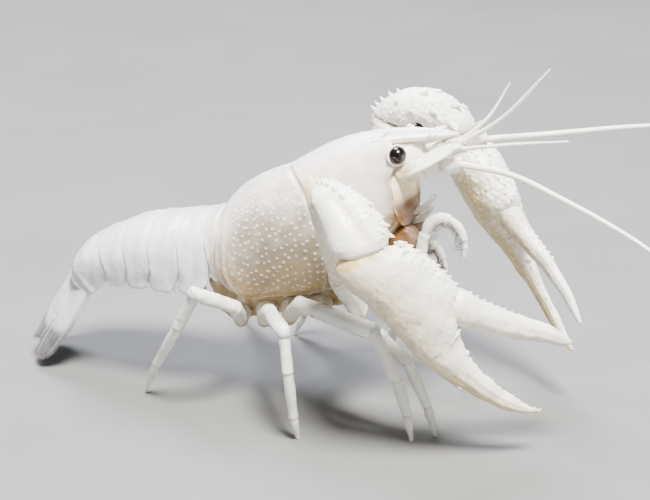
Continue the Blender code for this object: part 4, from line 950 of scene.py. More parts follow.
@dataclass
class Head(Assembly):
    """Front of the head: cheeks, mouth frame, jaws, palps, stalks and eyes."""
    start: float = 33.0
    front: float = 16.6
    front_half: float = 2.6
    slope: float = 0.54
    half_width: float = 6.6
    top: float = 0.6
    bottom: float = -10.6
    jaw_centre: tuple = (31.6, 2.7, -12.9)
    jaw_half: tuple = (2.9, 2.3, 2.6)
    palps: tuple = ((-9.1, 5.5), (-10.7, 4.7))  # height and length
    eye_centre: tuple = (36.5, 5.5, 2.6)
    eye_radius: float = 1.55
    stalk_root: tuple = (33.0, 4.3, 1.9)
    gaze: tuple = (0.62, 0.74, 0.22)         # forward, outward and up
    left_eye_up: tuple = (0.9, 0.5)          # the far eye is raised and looks up

    def build(self) -> None:
        """Cheeks, then what each side carries."""
        self.build_front()
        for name, side in SIDES.items():
            self.build_jaw(name, side)
            self.build_eye(name, side)

    def build_front(self) -> None:
        """Smooth cheeks with folds under the eyes."""
        piece = self.piece("head_front_skin", HEAD_SHELL, Slot.BODY, "head_front")
        forward, up, left = body_direction(1, 0, 0), body_direction(0, 0, 1), np.array([0.0, 1.0, 0.0])
        middle, half = (self.top + self.bottom) / 2, (self.top - self.bottom) / 2
        rows = []
        for t in np.concatenate([np.linspace(-0.25, 0.8, 46), np.linspace(0.82, 1.0, 14),
                                 np.linspace(1.01, 1.3, 30)]):
            shrink = 1 - 0.14 * np.clip((t - 0.8) / 0.2, 0, 1) ** 2 - 2.7 * max(0.0, t - 1.0)
            shrink -= 0.16 * float(step(t, 0.02, -0.2))
            t = min(t, 1.0) + 0.06 * math.sin(math.pi * max(0.0, t - 1.0) / 0.6)
            start = ring(body(self.start, 0, middle), left, up, self.half_width * shrink, half * shrink,
                         128, 3.0)
            start[:, 1] *= 1 - 0.1 * step(start[:, 2], 42.0, 35.5) * (0.4 + 0.6 * t)
            limit = self.front - self.slope * np.maximum(0, np.abs(start[:, 1]) - self.front_half)
            rows.append(start + np.outer((limit - start[:, 0]) / forward[0] * t, forward))
        rows = np.array(rows)
        down = step(rows[..., 2], 48.0, 40.0)
        brown = step(rows[..., 2], 43.2, 40.6) * step(rows[..., 0], 8.2, 10.6)
        lift = 0.09 * ripple(rows * (1, 1, 0.55), 1.5, 21) + 0.04 * ripple(rows, 0.7, 22)
        warm = (0.25 + 0.75 * down + 0.15 * ripple(rows, 1.8, 23)) * (1 - 0.95 * brown)
        rows = raised(rows, lift)
        piece.grid(rows, 0.35 * (1 - down), warm,
                   (1.02 + 0.14 * ripple(rows * (1, 1, 0.4), 1.3, 25)) * brown)
        # A flat block under the beak fills the space between the stalks.
        sizes = np.sqrt(1 - np.linspace(0, 0.97, 44) ** 5)
        rows = np.array([ring(body(along, 0, 1.2), left, up, (19.6 - 0.42 * along) * size, 2.7 * size,
                              96, 2.6) for along, size in zip(np.linspace(31.0, 39.4, 44), sizes)])
        piece.grid(raised(rows, 0.06 * ripple(rows, 1.2, 24)), 0.3, 0.15)

    def build_jaw(self, name: str, side: float) -> None:
        """Ochre jaw half with a dark biting edge, and two grey palps in front of it.

        Args:
            name: right or left.
            side: -1 for the right side, 1 for the left.
        """
        jaw = self.piece(f"mandible_{name}_horn", JAW_HORN, Slot.JAW, f"mandible_{name}")
        along, out, height = self.jaw_centre
        turns = np.radians(np.linspace(-78, 78, 44))
        rows = np.array([ring(body(along + self.jaw_half[0] * math.sin(turn), out,
                                   height + 0.5 * math.sin(turn), side),
                              np.array([0.0, side, 0.0]), body_direction(0, 0, 1),
                              self.jaw_half[1] * math.cos(turn), self.jaw_half[2] * math.cos(turn), 64, 2.4)
                         for turn in turns])
        shade = 0.75 * bell(np.sin(turns), 0.25, 0.3)[:, None] + 0.3 * ripple(rows, 1.0, 32)
        jaw.grid(raised(rows, 0.1 * ripple(rows * (0.5, 1, 1), 0.8, 31)),
                 0.12 * step(np.sin(turns), 0.35, 0.95)[:, None], 0.4, shade)
        palps = self.piece(f"palps_{name}", PALP_SHELL, Slot.JAW)
        for k, (drop, reach) in enumerate(self.palps):
            start = body(33.6 - 0.4 * k, 0.8, drop, side)
            points = route([start, start + body_direction(0.98, 0.05, 0.12, side) * reach * 0.4,
                            start + body_direction(0.92, 0.0, 0.38, side) * reach], 22)
            grid = tube(points, taper(22, (0.3, 0.48, 0.4, 0.12), (0, 0.4, 0.85, 1)), 16, 0.6)
            palps.grid(grid, 0.3, 0.1, 0.4 + 0.3 * ripple(grid, 0.6, 33 + k))

    def build_eye(self, name: str, side: float) -> None:
        """Cornea in a raised cup at the end of a short stalk.

        Args:
            name: right or left.
            side: -1 for the right side, 1 for the left.
        """
        lift, look_up = self.left_eye_up if name == "left" else (0.0, 0.0)
        centre, root = body(*self.eye_centre, side), body(*self.stalk_root, side)
        centre = centre + np.array([0.0, 0.0, lift])
        gaze = unit(outward(self.gaze, side) + np.array([0.0, 0.0, look_up]))
        across = unit(np.cross(gaze, (0, 0, 1)))
        up = np.cross(gaze, across)
        eye = self.piece(f"eye_{name}_cornea", CORNEA, Slot.EYE, f"eye_{name}")
        eye.grid(np.array([ring(centre + gaze * self.eye_radius * math.sin(a), across, up,
                                self.eye_radius * math.cos(a), self.eye_radius * math.cos(a), 64)
                           for a in np.radians(np.linspace(-30, 89, 40))]))
        stalk = self.piece(f"eyestalk_{name}_skin", HEAD_SHELL, Slot.BODY, f"eyestalk_{name}")
        grid = []
        for t in np.linspace(0, 1, 26):
            middle = root + (centre - gaze * 0.9 - root) * t - body_direction(1, 0, 0) * 0.8 * (1 - t)
            axis = unit(unit(centre - root) * (1 - t) + gaze * t)
            level = unit(across - axis * (across @ axis))
            radius = float(curve((0, 0.5, 1), (1.3, 1.28, 1.5), t))
            grid.append(ring(middle, level, np.cross(axis, level), radius, radius, 48))
        for reach, radius in ((-0.75, 1.7), (-0.4, 1.84), (-0.15, 1.88), (0.02, 1.82), (0.08, 1.7),
                              (0.04, 1.58), (-0.2, 1.5)):
            grid.append(ring(centre + gaze * reach, across, up, radius, radius, 48))
        grid = np.array(grid)
        stalk.grid(raised(grid, 0.03 * ripple(grid, 0.8, 41)), step(np.arange(len(grid)), 24, 30)[:, None],
                   0.12, 0.1)


@dataclass
class Thorax(Assembly):
    """Breast plate with its soft folded walls."""
    start: float = -5.4
    end: float = 23.6
    half_width: float = 6.4
    lean: float = 2.2
    side_depth: float = 3.6
    edge: float = -16.7
    edge_slope: float = -0.085
    rear_top: float = -11.0
    rows: int = 130

    def edge_at(self, along: float) -> float:
        """Height of the upper edge of the slanted sides."""
        return self.edge + self.edge_slope * along

    def hip(self, along: float, side: float, distance: float = 0.0) -> Array:
        """Point on the slanted side, where a leg starts.

        Args:
            along: place along the body.
            side: -1 for the right side, 1 for the left.
            distance: how far off the side.

        Returns:
            The point.
        """
        return body(along, self.half_width - self.lean / 2, self.edge_at(along) - self.side_depth / 2,
                    side) + self.hip_normal(side) * distance

    def hip_normal(self, side: float) -> Array:
        """Direction that the slanted side faces."""
        return body_direction(0, self.side_depth, -self.lean, side)

    def build(self) -> None:
        """Plate with soft folds behind, and smoother shell between the legs."""
        piece = self.piece("breast_plate_skin", JOINT_SKIN, Slot.UNDERSIDE, "breast_plate")
        shell, wide = Carapace(), self.half_width
        narrow, places = wide - self.lean, np.linspace(self.start, self.end, self.rows)
        rows = []
        for along in places:
            edge = self.edge_at(along)
            low = edge - self.side_depth
            top = self.rear_top if along < 0 else np.interp(along, shell.along, shell.belly) + 0.3
            top = max(min(top, self.rear_top), edge + 0.4)
            half = [(wide * 0.5, top), (wide, top), (wide, edge), (narrow, low), (narrow * 0.4, low - 0.5)]
            profile = np.array([(0, top), *half, (0, low - 0.1), *((-x, z) for x, z in half[::-1]), (0, top)])
            at = lengths(profile)
            even = np.linspace(0, at[-1], 120, False)
            loop = np.stack([np.interp(even, at, v) for v in profile.T], axis=1)
            for _ in range(3):
                loop = (np.roll(loop, 1, 0) + 2 * loop + np.roll(loop, -1, 0)) / 4
            rows.append(body(along, *loop.T))
        rows = np.array(rows)
        behind = step(places, 3.0, -2.0)[:, None]
        folds = ripple(rows * (1.0, 0.5, 0.35), 1.1, 51)
        lift = (0.08 + 0.22 * behind) * folds + 0.05 * ripple(rows, 0.6, 52)
        # Painted light and shade: the folds' crests paler, their troughs warmer and darker, and the rear,
        # under the carapace, darker.
        piece.grid(raised(rows, lift), 0.3 * step(folds, 0.2, 1.0), 0.25 - 0.3 * folds, 0.3 + 0.3 * behind)


class HandFrame:
    """Axes of one hand: along to the fixed finger's tip, across to the movable finger."""

    def __init__(self, wrist: tuple, tip: tuple, face: tuple, side: float, length: float) -> None:
        """Set the axes.

        Args:
            wrist: where the hand starts: forward, outward and up.
            tip: tip of the fixed finger.
            face: direction that the hand's outer face looks.
            side: -1 for the right side, 1 for the left.
            length: length of the hand in its own units.
        """
        self.origin, tip, face = (outward(v, side) for v in (wrist, tip, face))
        self.scale = np.linalg.norm(tip - self.origin) / length
        self.along = unit(tip - self.origin)
        self.face = unit(face - self.along * (face @ self.along))
        self.across = -side * np.cross(self.face, self.along)

    def point(self, along: Array, across: Array, face: Array = 0.0) -> Array:
        """Points given in the hand's frame.

        Args:
            along: distance toward the fixed finger's tip.
            across: distance toward the movable finger.
            face: distance out from the hand's plane.

        Returns:
            Points in the making frame.
        """
        along, across, face = np.broadcast_arrays(*(np.asarray(v, float) for v in (along, across, face)))
        return self.origin + self.scale * (along[..., None] * self.along + across[..., None] * self.across
                                           + face[..., None] * self.face)

    def direction(self, along: float, across: float, face: float = 0.0) -> Array:
        """Direction given along, across and out from the hand."""
        return unit(self.point(along, across, face) - self.origin)


@dataclass(frozen=True)
class ArmPose:
    """Joints of one claw arm: forward, outward and up."""
    elbow: tuple
    crown: tuple
    wrist: tuple
    tip: tuple
    face: tuple
    gape: float


ARM_POSES = {
    "right": ArmPose((6.6, 20.0, 46.6), (11.6, 21.0, 44.2), (17.0, 22.0, 39.0), (41.7, 10.0, 8.1),
                     (0.55, 0.83, 0.12), 28.6),
    "left": ArmPose((4.8, 20.4, 47.2), (10.6, 20.6, 53.0), (20.1, 21.2, 45.4), (42.6, 10.4, 10.6),
                    (0.686, 0.694, 0.239), 20.4),
}


@dataclass
class ClawArm(Assembly):
    """One claw arm with its tubercles, spines and toothed fingers."""
    name: str
    thorax: Thorax
    hip: float = 20.8
    ischium: tuple = (6.7, 11.8, 28.9)
    hand_length: float = 41.3
    coxa_radii: tuple = (2.15, 2.05, 2.1)
    ischium_radii: tuple = (1.9, 2.1, 2.2)
    merus_radii: tuple = (2.0, 2.5, 2.9)
    wrist_at: tuple = (0.0, 0.12, 0.34, 0.56, 0.76, 0.91, 1.0)
    wrist_widths: tuple = (2.6, 3.4, 4.2, 4.8, 5.1, 4.7, 3.4)
    wrist_depths: tuple = (2.4, 3.0, 3.5, 3.8, 3.9, 3.5, 2.5)
    # along, lower edge, upper edge, half thickness and slant of the hand's slices
    hand: tuple = ((-2.1, -5.1, 1.1, 2.4, 0.56), (-0.9, -7.2, 2.3, 3.0, 0.45),
                   (1.4, -8.0, 3.5, 3.5, 0.2), (5.0, -7.6, 4.5, 3.8, 0.0), (10.0, -7.6, 5.0, 3.9, 0.0),
                   (14.5, -7.8, 4.9, 3.7, 0.0), (18.0, -7.8, 4.3, 3.2, 0.0), (20.0, -7.7, -0.1, 2.7, 0.0),
                   (24.0, -7.1, -1.5, 2.2, 0.0), (29.0, -6.1, -2.0, 1.8, 0.0), (34.0, -4.7, -1.4, 1.4, 0.0),
                   (38.0, -2.8, -0.5, 1.0, 0.0), (40.4, -1.2, 0.15, 0.6, 0.0), (41.3, -0.35, 0.2, 0.25, 0.0))
    hinge: tuple = (16.3, 2.6)
    hinge_face: tuple = ((13.7, 4.9), (19.2, 0.3))
    finger_length: float = 22.4
    finger_bow: float = 0.8
    finger_at: tuple = (-4.0, 0.22, 3.92, 9.2, 14.48, 18.7, 21.34, 22.4)
    finger_widths: tuple = (3.4, 3.2, 2.65, 2.3, 1.85, 1.4, 0.85, 0.4)
    finger_thickness: float = 0.86
    palm_sway: tuple = ((1.0, 4.5, 14.0, 18.7, 27.0, 34.0, 41.3), (0.0, -0.5, 0.0, 0.9, 1.5, 1.5, 0.7))
    finger_sway: tuple = ((2.0, 6.0, 11.0, 18.0, 22.4), (0.0, 0.3, 0.75, 0.6, 0.2))
    left_palm_depth: tuple = ((0.0, 4.5, 14.0, 18.7, 27.0, 34.0, 41.3),
                              (1.0, 1.15, 1.0, 0.86, 0.68, 0.64, 0.9))
    left_finger_depth: tuple = ((0.0, 5.0, 10.0, 19.0, 22.4), (1.0, 0.86, 0.7, 0.68, 0.9))

    def __post_init__(self) -> None:
        """Pose and hand of this side."""
        self.side, self.pose = SIDES[self.name], ARM_POSES[self.name]
        self.frame = HandFrame(self.pose.wrist, self.pose.tip, self.pose.face, self.side,
                               self.hand_length)
        self.left = self.name == "left"
        self.slim = 0.8 if self.left else 1.0     # the far hand's narrower finger
        self.seed = 200 if self.left else 100

    def build(self) -> None:
        """Base, upper arm, wrist, palm and finger."""
        self.build_upper()
        self.build_wrist()
        self.build_palm()
        self.build_finger()

    def build_upper(self) -> None:
        """Base and upper arm, with rows of spines on its lower edges."""
        side = self.side
        ischium, elbow, crown = (outward(v, side) for v in (self.ischium, self.pose.elbow, self.pose.crown))
        coxa_end = self.thorax.hip(self.hip, side, 2.3)
        shoulder = unit(unit(ischium - coxa_end) + unit(elbow - ischium))
        self.elbow_plane = unit(unit(elbow - ischium) + unit(crown - elbow))
        base = self.piece(f"claw_{self.name}_base_shell", LEG_SHELL, Slot.LIMB, f"claw_{self.name}_base")
        grid, neck, _ = limb([self.thorax.hip(self.hip, side), coxa_end, ischium + shoulder * 0.2],
                             [self.coxa_radii, self.ischium_radii], self.thorax.hip_normal(side),
                             shoulder, 64, 0.9, 0.18)
        base.grid(raised(grid, 0.06 * ripple(grid, 0.9, self.seed)), 0.25, (0.35 + 0.6 * neck)[:, None], 0.3)
        arm = self.piece(f"claw_{self.name}_upper_arm_shell", CLAW_SHELL, Slot.LIMB,
                         f"claw_{self.name}_upper_arm")
        end = elbow - self.elbow_plane * 0.1
        grid, _, share = limb([ischium - shoulder * 0.1, end], [self.merus_radii], shoulder,
                              self.elbow_plane, 88, 0.85, 0.2)
        share = share[:, None]
        domes, mask = tubercles(grid, 1.25, (self.seed + 1, self.seed + 2), lambda row, turn: 1.0,
                                (0.5, 1.0, 0.0), 0.36, 0.09)
        lift = domes + 0.05 * ripple(grid, 1.6, self.seed + 3) + 0.12 * bell(share, 0.95, 0.02)
        arm.grid(raised(grid, lift), 0.7 * mask + 0.4 * bell(share, 0.95, 0.03),
                 0.3 + 0.35 * step(share, 0.5, 0.0) + 0.3 * step(share, 0.97, 1.0), 0.35)
        way, flat, axis = normals_of(grid).reshape(-1, 3), grid.reshape(-1, 3), unit(end - ischium)
        for ahead in (0.45, 1.0):
            ridge = unit(self.elbow_plane * ahead + np.array([0.6, 0, -0.25]))
            for t, height in ((0.35, 0.6), (0.5, 0.7), (0.65, 0.8), (0.8, 1.0), (0.93, 1.5)):
                off = flat - ischium - (end - ischium) * t
                near = np.linalg.norm(off, axis=1) < 3.4
                best = int(np.argmax(np.where(near, way @ ridge - 0.25 * np.abs(off @ axis), -9)))
                arm.spine(flat[best] - way[best] * 0.08, way[best] + axis * 0.45, 0.34 + 0.12 * height,
                          height, axis * 0.2)

    def wrist_section(self, t: float) -> tuple[Array, Array, Array]:
        """Plane of the wrist piece at one place.

        Args:
            t: share of its length.

        Returns:
            Centre, normal and upward direction.
        """
        first = self.hand[0]
        start = outward(self.pose.elbow, self.side) + self.elbow_plane * 0.15
        crown = outward(self.pose.crown, self.side)
        plane = self.frame.direction(1.0, -first[4])
        end = self.frame.point(first[0], (first[1] + first[2]) / 2) + plane * 0.15
        centre = (1 - t) ** 2 * start + 2 * t * (1 - t) * crown + t ** 2 * end
        tangent = unit((1 - t) * (crown - start) + t * (end - crown))
        normal = unit(tangent * (1 - (1 - t) ** 3 - t ** 3) + self.elbow_plane * (1 - t) ** 3
                      + plane * t ** 3)
        return centre, normal, unit(self.frame.across - normal * (self.frame.across @ normal))

    def build_wrist(self) -> None:
        """Wrist piece with a furrow, scaly tubercles and a row of spines."""
        piece = self.piece(f"claw_{self.name}_wrist_shell", CLAW_SHELL, Slot.LIMB,
                           f"claw_{self.name}_wrist")
        scale, cols = self.frame.scale, 132
        at = np.linspace(0, 1, 76)
        rows = []
        for t in at:
            width, depth = (float(curve(self.wrist_at, v, t)) * scale
                            for v in (self.wrist_widths, self.wrist_depths))
            width *= 1 - 0.1 * float(bell(t, 0.75, 0.3)) * self.left
            centre, normal, across = self.wrist_section(t)
            rows.append(ring(centre, across, np.cross(normal, across), width, depth, cols, 2.25))
        rows = np.array(rows)
        turn = 2 * np.pi * np.arange(cols) / cols
        _, normal, across = self.wrist_section(0.5)
        outer = np.sign(np.cross(normal, across) @ self.frame.face)
        facing, upper, places = outer * np.sin(turn), np.cos(turn), at[:, None]

        def grown(row: Array, turn: Array) -> Array:
            """Size at shares of the wrist: larger on the upper edge, none at the ends."""
            return (0.55 + 0.65 * step(np.cos(2 * np.pi * turn), 0.0, 0.95)) * (row > 0.05) * (row < 0.95)
        domes, mask = tubercles(rows, 1.08, (self.seed + 11, self.seed + 12), grown, (0.6, 1.1, 0.0),
                                0.48, 0.17)
        furrow = bell(upper, 0.1, 0.22) * (facing > 0) * step(places, 0.15, 0.4) * step(places, 0.98, 0.8)
        lift = domes - 0.4 * furrow + 0.1 * ripple(rows, 2.2, self.seed + 13)
        lift += 0.12 * bell(places, 0.955, 0.02) + 0.1 * bell(places, 0.04, 0.02)
        normals, shown = normals_of(rows), raised(rows, lift)
        # Painted shade: the furrow a little warmer and darker, and the lower side darker.
        warm = 0.1 + 0.55 * step(places, 0.93, 1.0) + 0.4 * step(places, 0.1, 0.0) + 0.15 * furrow
        piece.grid(shown, 0.45 + 0.5 * mask, warm, 0.1 + 0.15 * step(upper, 0, -1))
        spines = [(0.06 + 0.8 * k / 7, 0.35 * (-1) ** k, 0.3, 0.35, 0.66, 1.0 + 0.06 * k, 0.25)
                  for k in range(7)] + [(0.86, -0.35, 0.3, 0.55, 0.8, 2.0, 0.25)]
        spines += [(t, lean, 0.45, 0.6, 0.5, height, 0.2) for t, lean, height in (
            (0.97, 0.5, 1.1), (0.99, 0.15, 0.9), (0.6, 0.75, 0.7), (0.8, 0.7, 0.8))]
        for t, lean, sunk, ahead, radius, height, bend in spines:
            centre, normal, across = self.wrist_section(t)
            width = float(curve(self.wrist_at, self.wrist_widths, t)) * scale
            way = unit(across + lean * np.cross(normal, across) * outer)
            piece.spine(centre + way * (width - sunk), way + normal * ahead, radius, height, normal * bend)
        # A crest of spines starts where the upper arm ends, on the side that faces up and back.
        crest = np.array([-0.7155, 0.0508, 0.6954])
        for k, t in enumerate((0.04, 0.1, 0.17, 0.25, 0.34)):
            row = int(t * 75)
            best = int(np.argmax(shown[row] @ crest))
            out = normals[row, best]
            piece.spine(shown[row, best] - out * 0.1, out + crest * 0.6, 0.5, 1.0 - 0.08 * k, crest * 0.2)
        skin = self.piece(f"claw_{self.name}_wrist_skin", JOINT_SKIN, Slot.LIMB)
        centre, normal, across = self.wrist_section(1.0)
        up = np.cross(normal, across)
        grid = np.array([ring(centre + normal * reach, across, up, 2.95 * scale * swell,
                              2.15 * scale * swell, 72, 2.2)
                         for reach, swell in zip(np.linspace(-1.6, 1.2, 30),
                                                 0.92 + 0.08 * np.cos(np.linspace(0, 9 * np.pi, 30)))])
        skin.grid(grid, 0.2, 0.15, 0.1)

    def hand_values(self, along: Array) -> tuple:
        """Section of the hand.

        Args:
            along: places along the hand.

        Returns:
            Lower and upper edge, half thickness and slant at each place.
        """
        table = np.array(self.hand)
        values = curve(table[:, 0], table[:, 1:], along)
        (a, high), (b, low) = self.hinge_face
        seat = np.interp(along, (a - 4, a, b, b + 0.4), (9.0, high, low, 9.0))
        upper = np.where(along < 19.6, np.minimum(values[:, 1], seat),
                         np.interp(along, table[:, 0], table[:, 2]))
        lower = values[:, 0] * (0.88 if self.left else 1.0)
        thick = values[:, 2] * (np.interp(along, *self.left_palm_depth) if self.left else 1.0)
        return lower, upper, np.maximum(thick, 0.05), values[:, 3]

    def sway(self, along: Array) -> Array:
        """How far the fixed finger stands out from the hand's plane."""
        return np.interp(along, *self.palm_sway) * self.left

    def build_palm(self) -> None:
        """Palm and fixed finger, with scaly tubercles, ridges and a row of teeth."""
        piece = self.piece(f"claw_{self.name}_palm_shell", CLAW_SHELL, Slot.LIMB, f"claw_{self.name}_palm")
        cols = 176
        along = np.concatenate([np.linspace(-2.1, 22.0, 128), np.linspace(22.25, 40.6, 74),
                                np.linspace(40.7, 41.3, 6)])
        lower, upper, thick, slant = self.hand_values(along)
        middle, half = (upper + lower) / 2, (upper - lower) / 2
        angle = 2 * np.pi * np.arange(cols) / cols
        edge, places = np.cos(angle), along[:, None]
        across = half[:, None] * power(edge, 0.9)
        face = thick[:, None] * power(np.sin(angle), 0.9) + self.sway(along)[:, None]
        grid = self.frame.point(places + slant[:, None] * across, middle[:, None] + across, face)

        def grown(row: Array, turn: Array) -> Array:
            """Size at shares of the palm: largest on the upper edge, less on the finger."""
            local = np.interp(row * len(along), np.arange(len(along)), along)
            high = np.cos(2 * np.pi * turn)
            size = 0.5 + 0.22 * step(high, -0.2, 0.5) + 0.5 * step(high, 0.5, 0.95)
            size -= 0.1 * step(high, -0.6, -0.9)
            return size * np.interp(local, (-1, 1, 17, 24, 34), (0.3, 1.0, 1.0, 0.55, 0.0))
        domes, mask = tubercles(grid, 1.05 * self.frame.scale, (self.seed + 21, self.seed + 22), grown,
                                (0.6, 1.15, 0.12), 0.52, 0.2, 1.3)
        on_finger = step(places, 21.0, 26.0)
        ridges = np.cos(5 * angle) ** 2 * on_finger * step(places, 41.0, 36.0)
        lift = domes + 0.12 * ripple(grid, 2.6, self.seed + 23) + 0.03 * ripple(grid, 0.8, self.seed + 24)
        lift += 0.07 * ridges - 0.04 * on_finger
        # Painted light and shade: the upper edge paler, the lower edge warmer and darker.
        low = step(edge, 0.3, -0.9)
        warm = 0.08 + 0.5 * low + 0.2 * on_finger * low + 0.7 * step(places, 0.0, -2.1)
        warm += 0.95 * step(np.sin(angle), 0.1, -0.8) * step(places, 1.0, 9.0) * self.left
        warm += 0.25 * step(places, 38.5, 41.0) + 0.4 * bell(places, 19.8, 1.0) * (edge > 0.4)
        piece.grid(raised(grid, lift), 0.35 * mask + 0.4 * step(edge, 0.2, 0.8), warm,
                   0.12 + 0.22 * low + 0.1 * on_finger)

        table = np.array(self.hand)
        for line, (tilt, offset) in enumerate(((0.0, 0.0), (1.5, 0.65), (-1.6, 0.5))):
            for k in range(9 - line):
                at = 1.6 + 11.6 * (k + 0.5 * (line % 2)) / 8
                top = float(np.interp(at, table[:, 0], table[:, 2])) - offset - 0.15
                piece.spine(self.frame.point(at, top, tilt + 0.3 * (-1) ** k),
                            self.frame.direction(0.4, 1.0, 0.28 * tilt), 0.62 - 0.1 * line,
                            0.95 - 0.25 * line, self.frame.along * 0.2)
        for k in range(13):
            at = 20.9 + 18.0 * k / 12
            top = float(np.interp(at, table[:, 0], table[:, 2]))
            large = 1.35 if k == 2 else 1.1 if k == 10 else 0.55 + 0.15 * (k % 2)
            large *= np.interp(at, (20, 32, 40), (1.0, 0.8, 0.35))
            piece.knob(self.frame.point(at, top - 0.02, 0.15 * (-1) ** k + self.sway(at)), self.frame.across,
                       0.42 * large, 0.95)
        hook = route([self.frame.point(*p, self.sway(41.0))
                      for p in ((40.4, -0.1), (41.25, 0.3), (41.5, 0.95))], 12)
        piece.grid(tube(hook, taper(12, (0.5, 0.38, 0.1)), 20), 0.0, 0.7, 0.3)

    def finger_point(self, distance: Array, rise: Array = 0.0, face: Array = 0.0) -> Array:
        """Points beside the movable finger's bowed axis.

        Args:
            distance: distance along it from the hinge.
            rise: distance above it, away from the fixed finger.
            face: distance out from the hand's plane.

        Returns:
            Points in the making frame.
        """
        turn = math.radians(self.pose.gape)
        distance = np.asarray(distance, float)
        slack = 0.1 if self.left else self.finger_bow
        bow = -slack * np.sin(np.pi * np.maximum(0.0, distance) / self.finger_length) + rise \
            - 1.0 * step(distance, 15.0, 22.4) ** 1.5
        face = face + np.interp(distance, *self.finger_sway) * self.left
        return self.frame.point(self.hinge[0] + distance * math.cos(turn) - bow * math.sin(turn),
                                self.hinge[1] + distance * math.sin(turn) + bow * math.cos(turn), face)

    def build_finger(self) -> None:
        """Movable finger, serrated outside and toothed inside."""
        piece = self.piece(f"claw_{self.name}_finger_shell", CLAW_SHELL, Slot.LIMB,
                           f"claw_{self.name}_finger")
        cols = 132
        at = np.concatenate([np.linspace(-1.9, 0.6, 16), np.linspace(0.8, 21.4, 112),
                             np.linspace(21.5, 22.4, 8)])
        half = curve(self.finger_at, self.finger_widths, at)
        half = half * np.sqrt(1 - (1 - np.clip((at + 2.1) / 2.8, 0.02, 1)) ** 2)
        half = half * self.slim
        thick = self.finger_thickness * (np.interp(at, *self.left_finger_depth) if self.left else 1.0)
        angle = 2 * np.pi * np.arange(cols) / cols
        edge, places = np.cos(angle), at[:, None]
        grid = self.finger_point(places + 0 * angle, half[:, None] * power(edge, 0.92),
                                 (half * thick)[:, None] * power(np.sin(angle), 0.92))

        def grown(row: Array, turn: Array) -> Array:
            """Size at shares of the finger: largest outside, none at the tip."""
            local = np.interp(row * len(at), np.arange(len(at)), at)
            return ((0.45 + 0.5 * step(np.cos(2 * np.pi * turn), 0.3, 0.95))
                    * np.interp(local, (-1.5, 0.2, 10, 16), (0, 1, 0.7, 0)))
        domes, mask = tubercles(grid, 1.05, (self.seed + 31, self.seed + 32), grown, (0.6, 1.1, 0.0),
                                0.46, 0.13)
        ridges = np.cos(5 * angle) ** 2 * step(places, 3.0, 8.0) * step(places, 22.0, 18.0)
        lift = domes + 0.05 * ridges + 0.06 * ripple(grid, 2.0, self.seed + 33)
        lift += 0.02 * ripple(grid, 0.7, self.seed + 34)
        warm = 0.05 + 0.3 * step(places, 1.6, 0.0) + 0.2 * step(places, 20.0, 22.2)
        # Painted light and shade: the inner edge, toward the fixed finger, warmer and darker, the outer edge
        # paler.
        warm = warm + 0.2 * step(edge, 0.0, -1.0)
        warm += 0.85 * step(np.sin(angle), 0.1, -0.6) * step(places, 16.0, 4.0) * self.left
        piece.grid(raised(grid, lift), 0.45 * mask + 0.45 * step(edge, -0.2, 0.7), warm,
                   0.1 + 0.12 * step(edge, 0.2, -0.8))
        turn = math.radians(self.pose.gape)
        up = self.frame.direction(-math.sin(turn), math.cos(turn))
        ahead = self.frame.direction(math.cos(turn), math.sin(turn))
        for line, face_at in enumerate((0.0, 1.0)):
            for k in range(8):
                reach = 1.8 + (9.6 - 1.5 * line) * (k + 0.4 * line) / 7
                wide = float(curve(self.finger_at, self.finger_widths, reach)) * self.slim
                piece.spine(self.finger_point(reach, wide * (0.93 if not line else 0.72), face_at),
                            up + ahead * 0.4 + self.frame.face * 0.25 * line, (0.46 - 0.02 * k) * self.slim,
                            (0.62 - 0.03 * k) * (0.5 if self.left else 1.0), ahead * 0.12)
        for k in range(12):
            reach = 3.8 + 16.6 * k / 11
            wide = float(curve(self.finger_at, self.finger_widths, reach)) * self.slim
            large = (1.2 if k == 2 else 0.6 + 0.15 * (k % 2)) * np.interp(reach, (3, 14, 22), (1, 0.8, 0.4))
            piece.knob(self.finger_point(reach, -wide * 0.97, 0.12 * (-1) ** k), up, 0.4 * large, 0.9)
        skin = self.piece(f"claw_{self.name}_finger_skin", JOINT_SKIN, Slot.LIMB)
        grid = np.array([ring(self.finger_point(reach), up, self.frame.face, radius, radius * 0.86, 64)
                         for reach, radius in ((-2.6, 1.3), (-1.6, 1.6), (-0.6, 1.8), (0.4, 1.8),
                                               (1.2, 1.6))])
        skin.grid(grid, 0.0, 0.3, 0.1)


@dataclass(frozen=True)
class LegPose:
    """Joints of a walking leg: forward, outward and up; the hip is on the breast plate."""
    hip: float
    ischium: tuple
    knee: tuple
    ankle: tuple
    toe: tuple
    foot: tuple


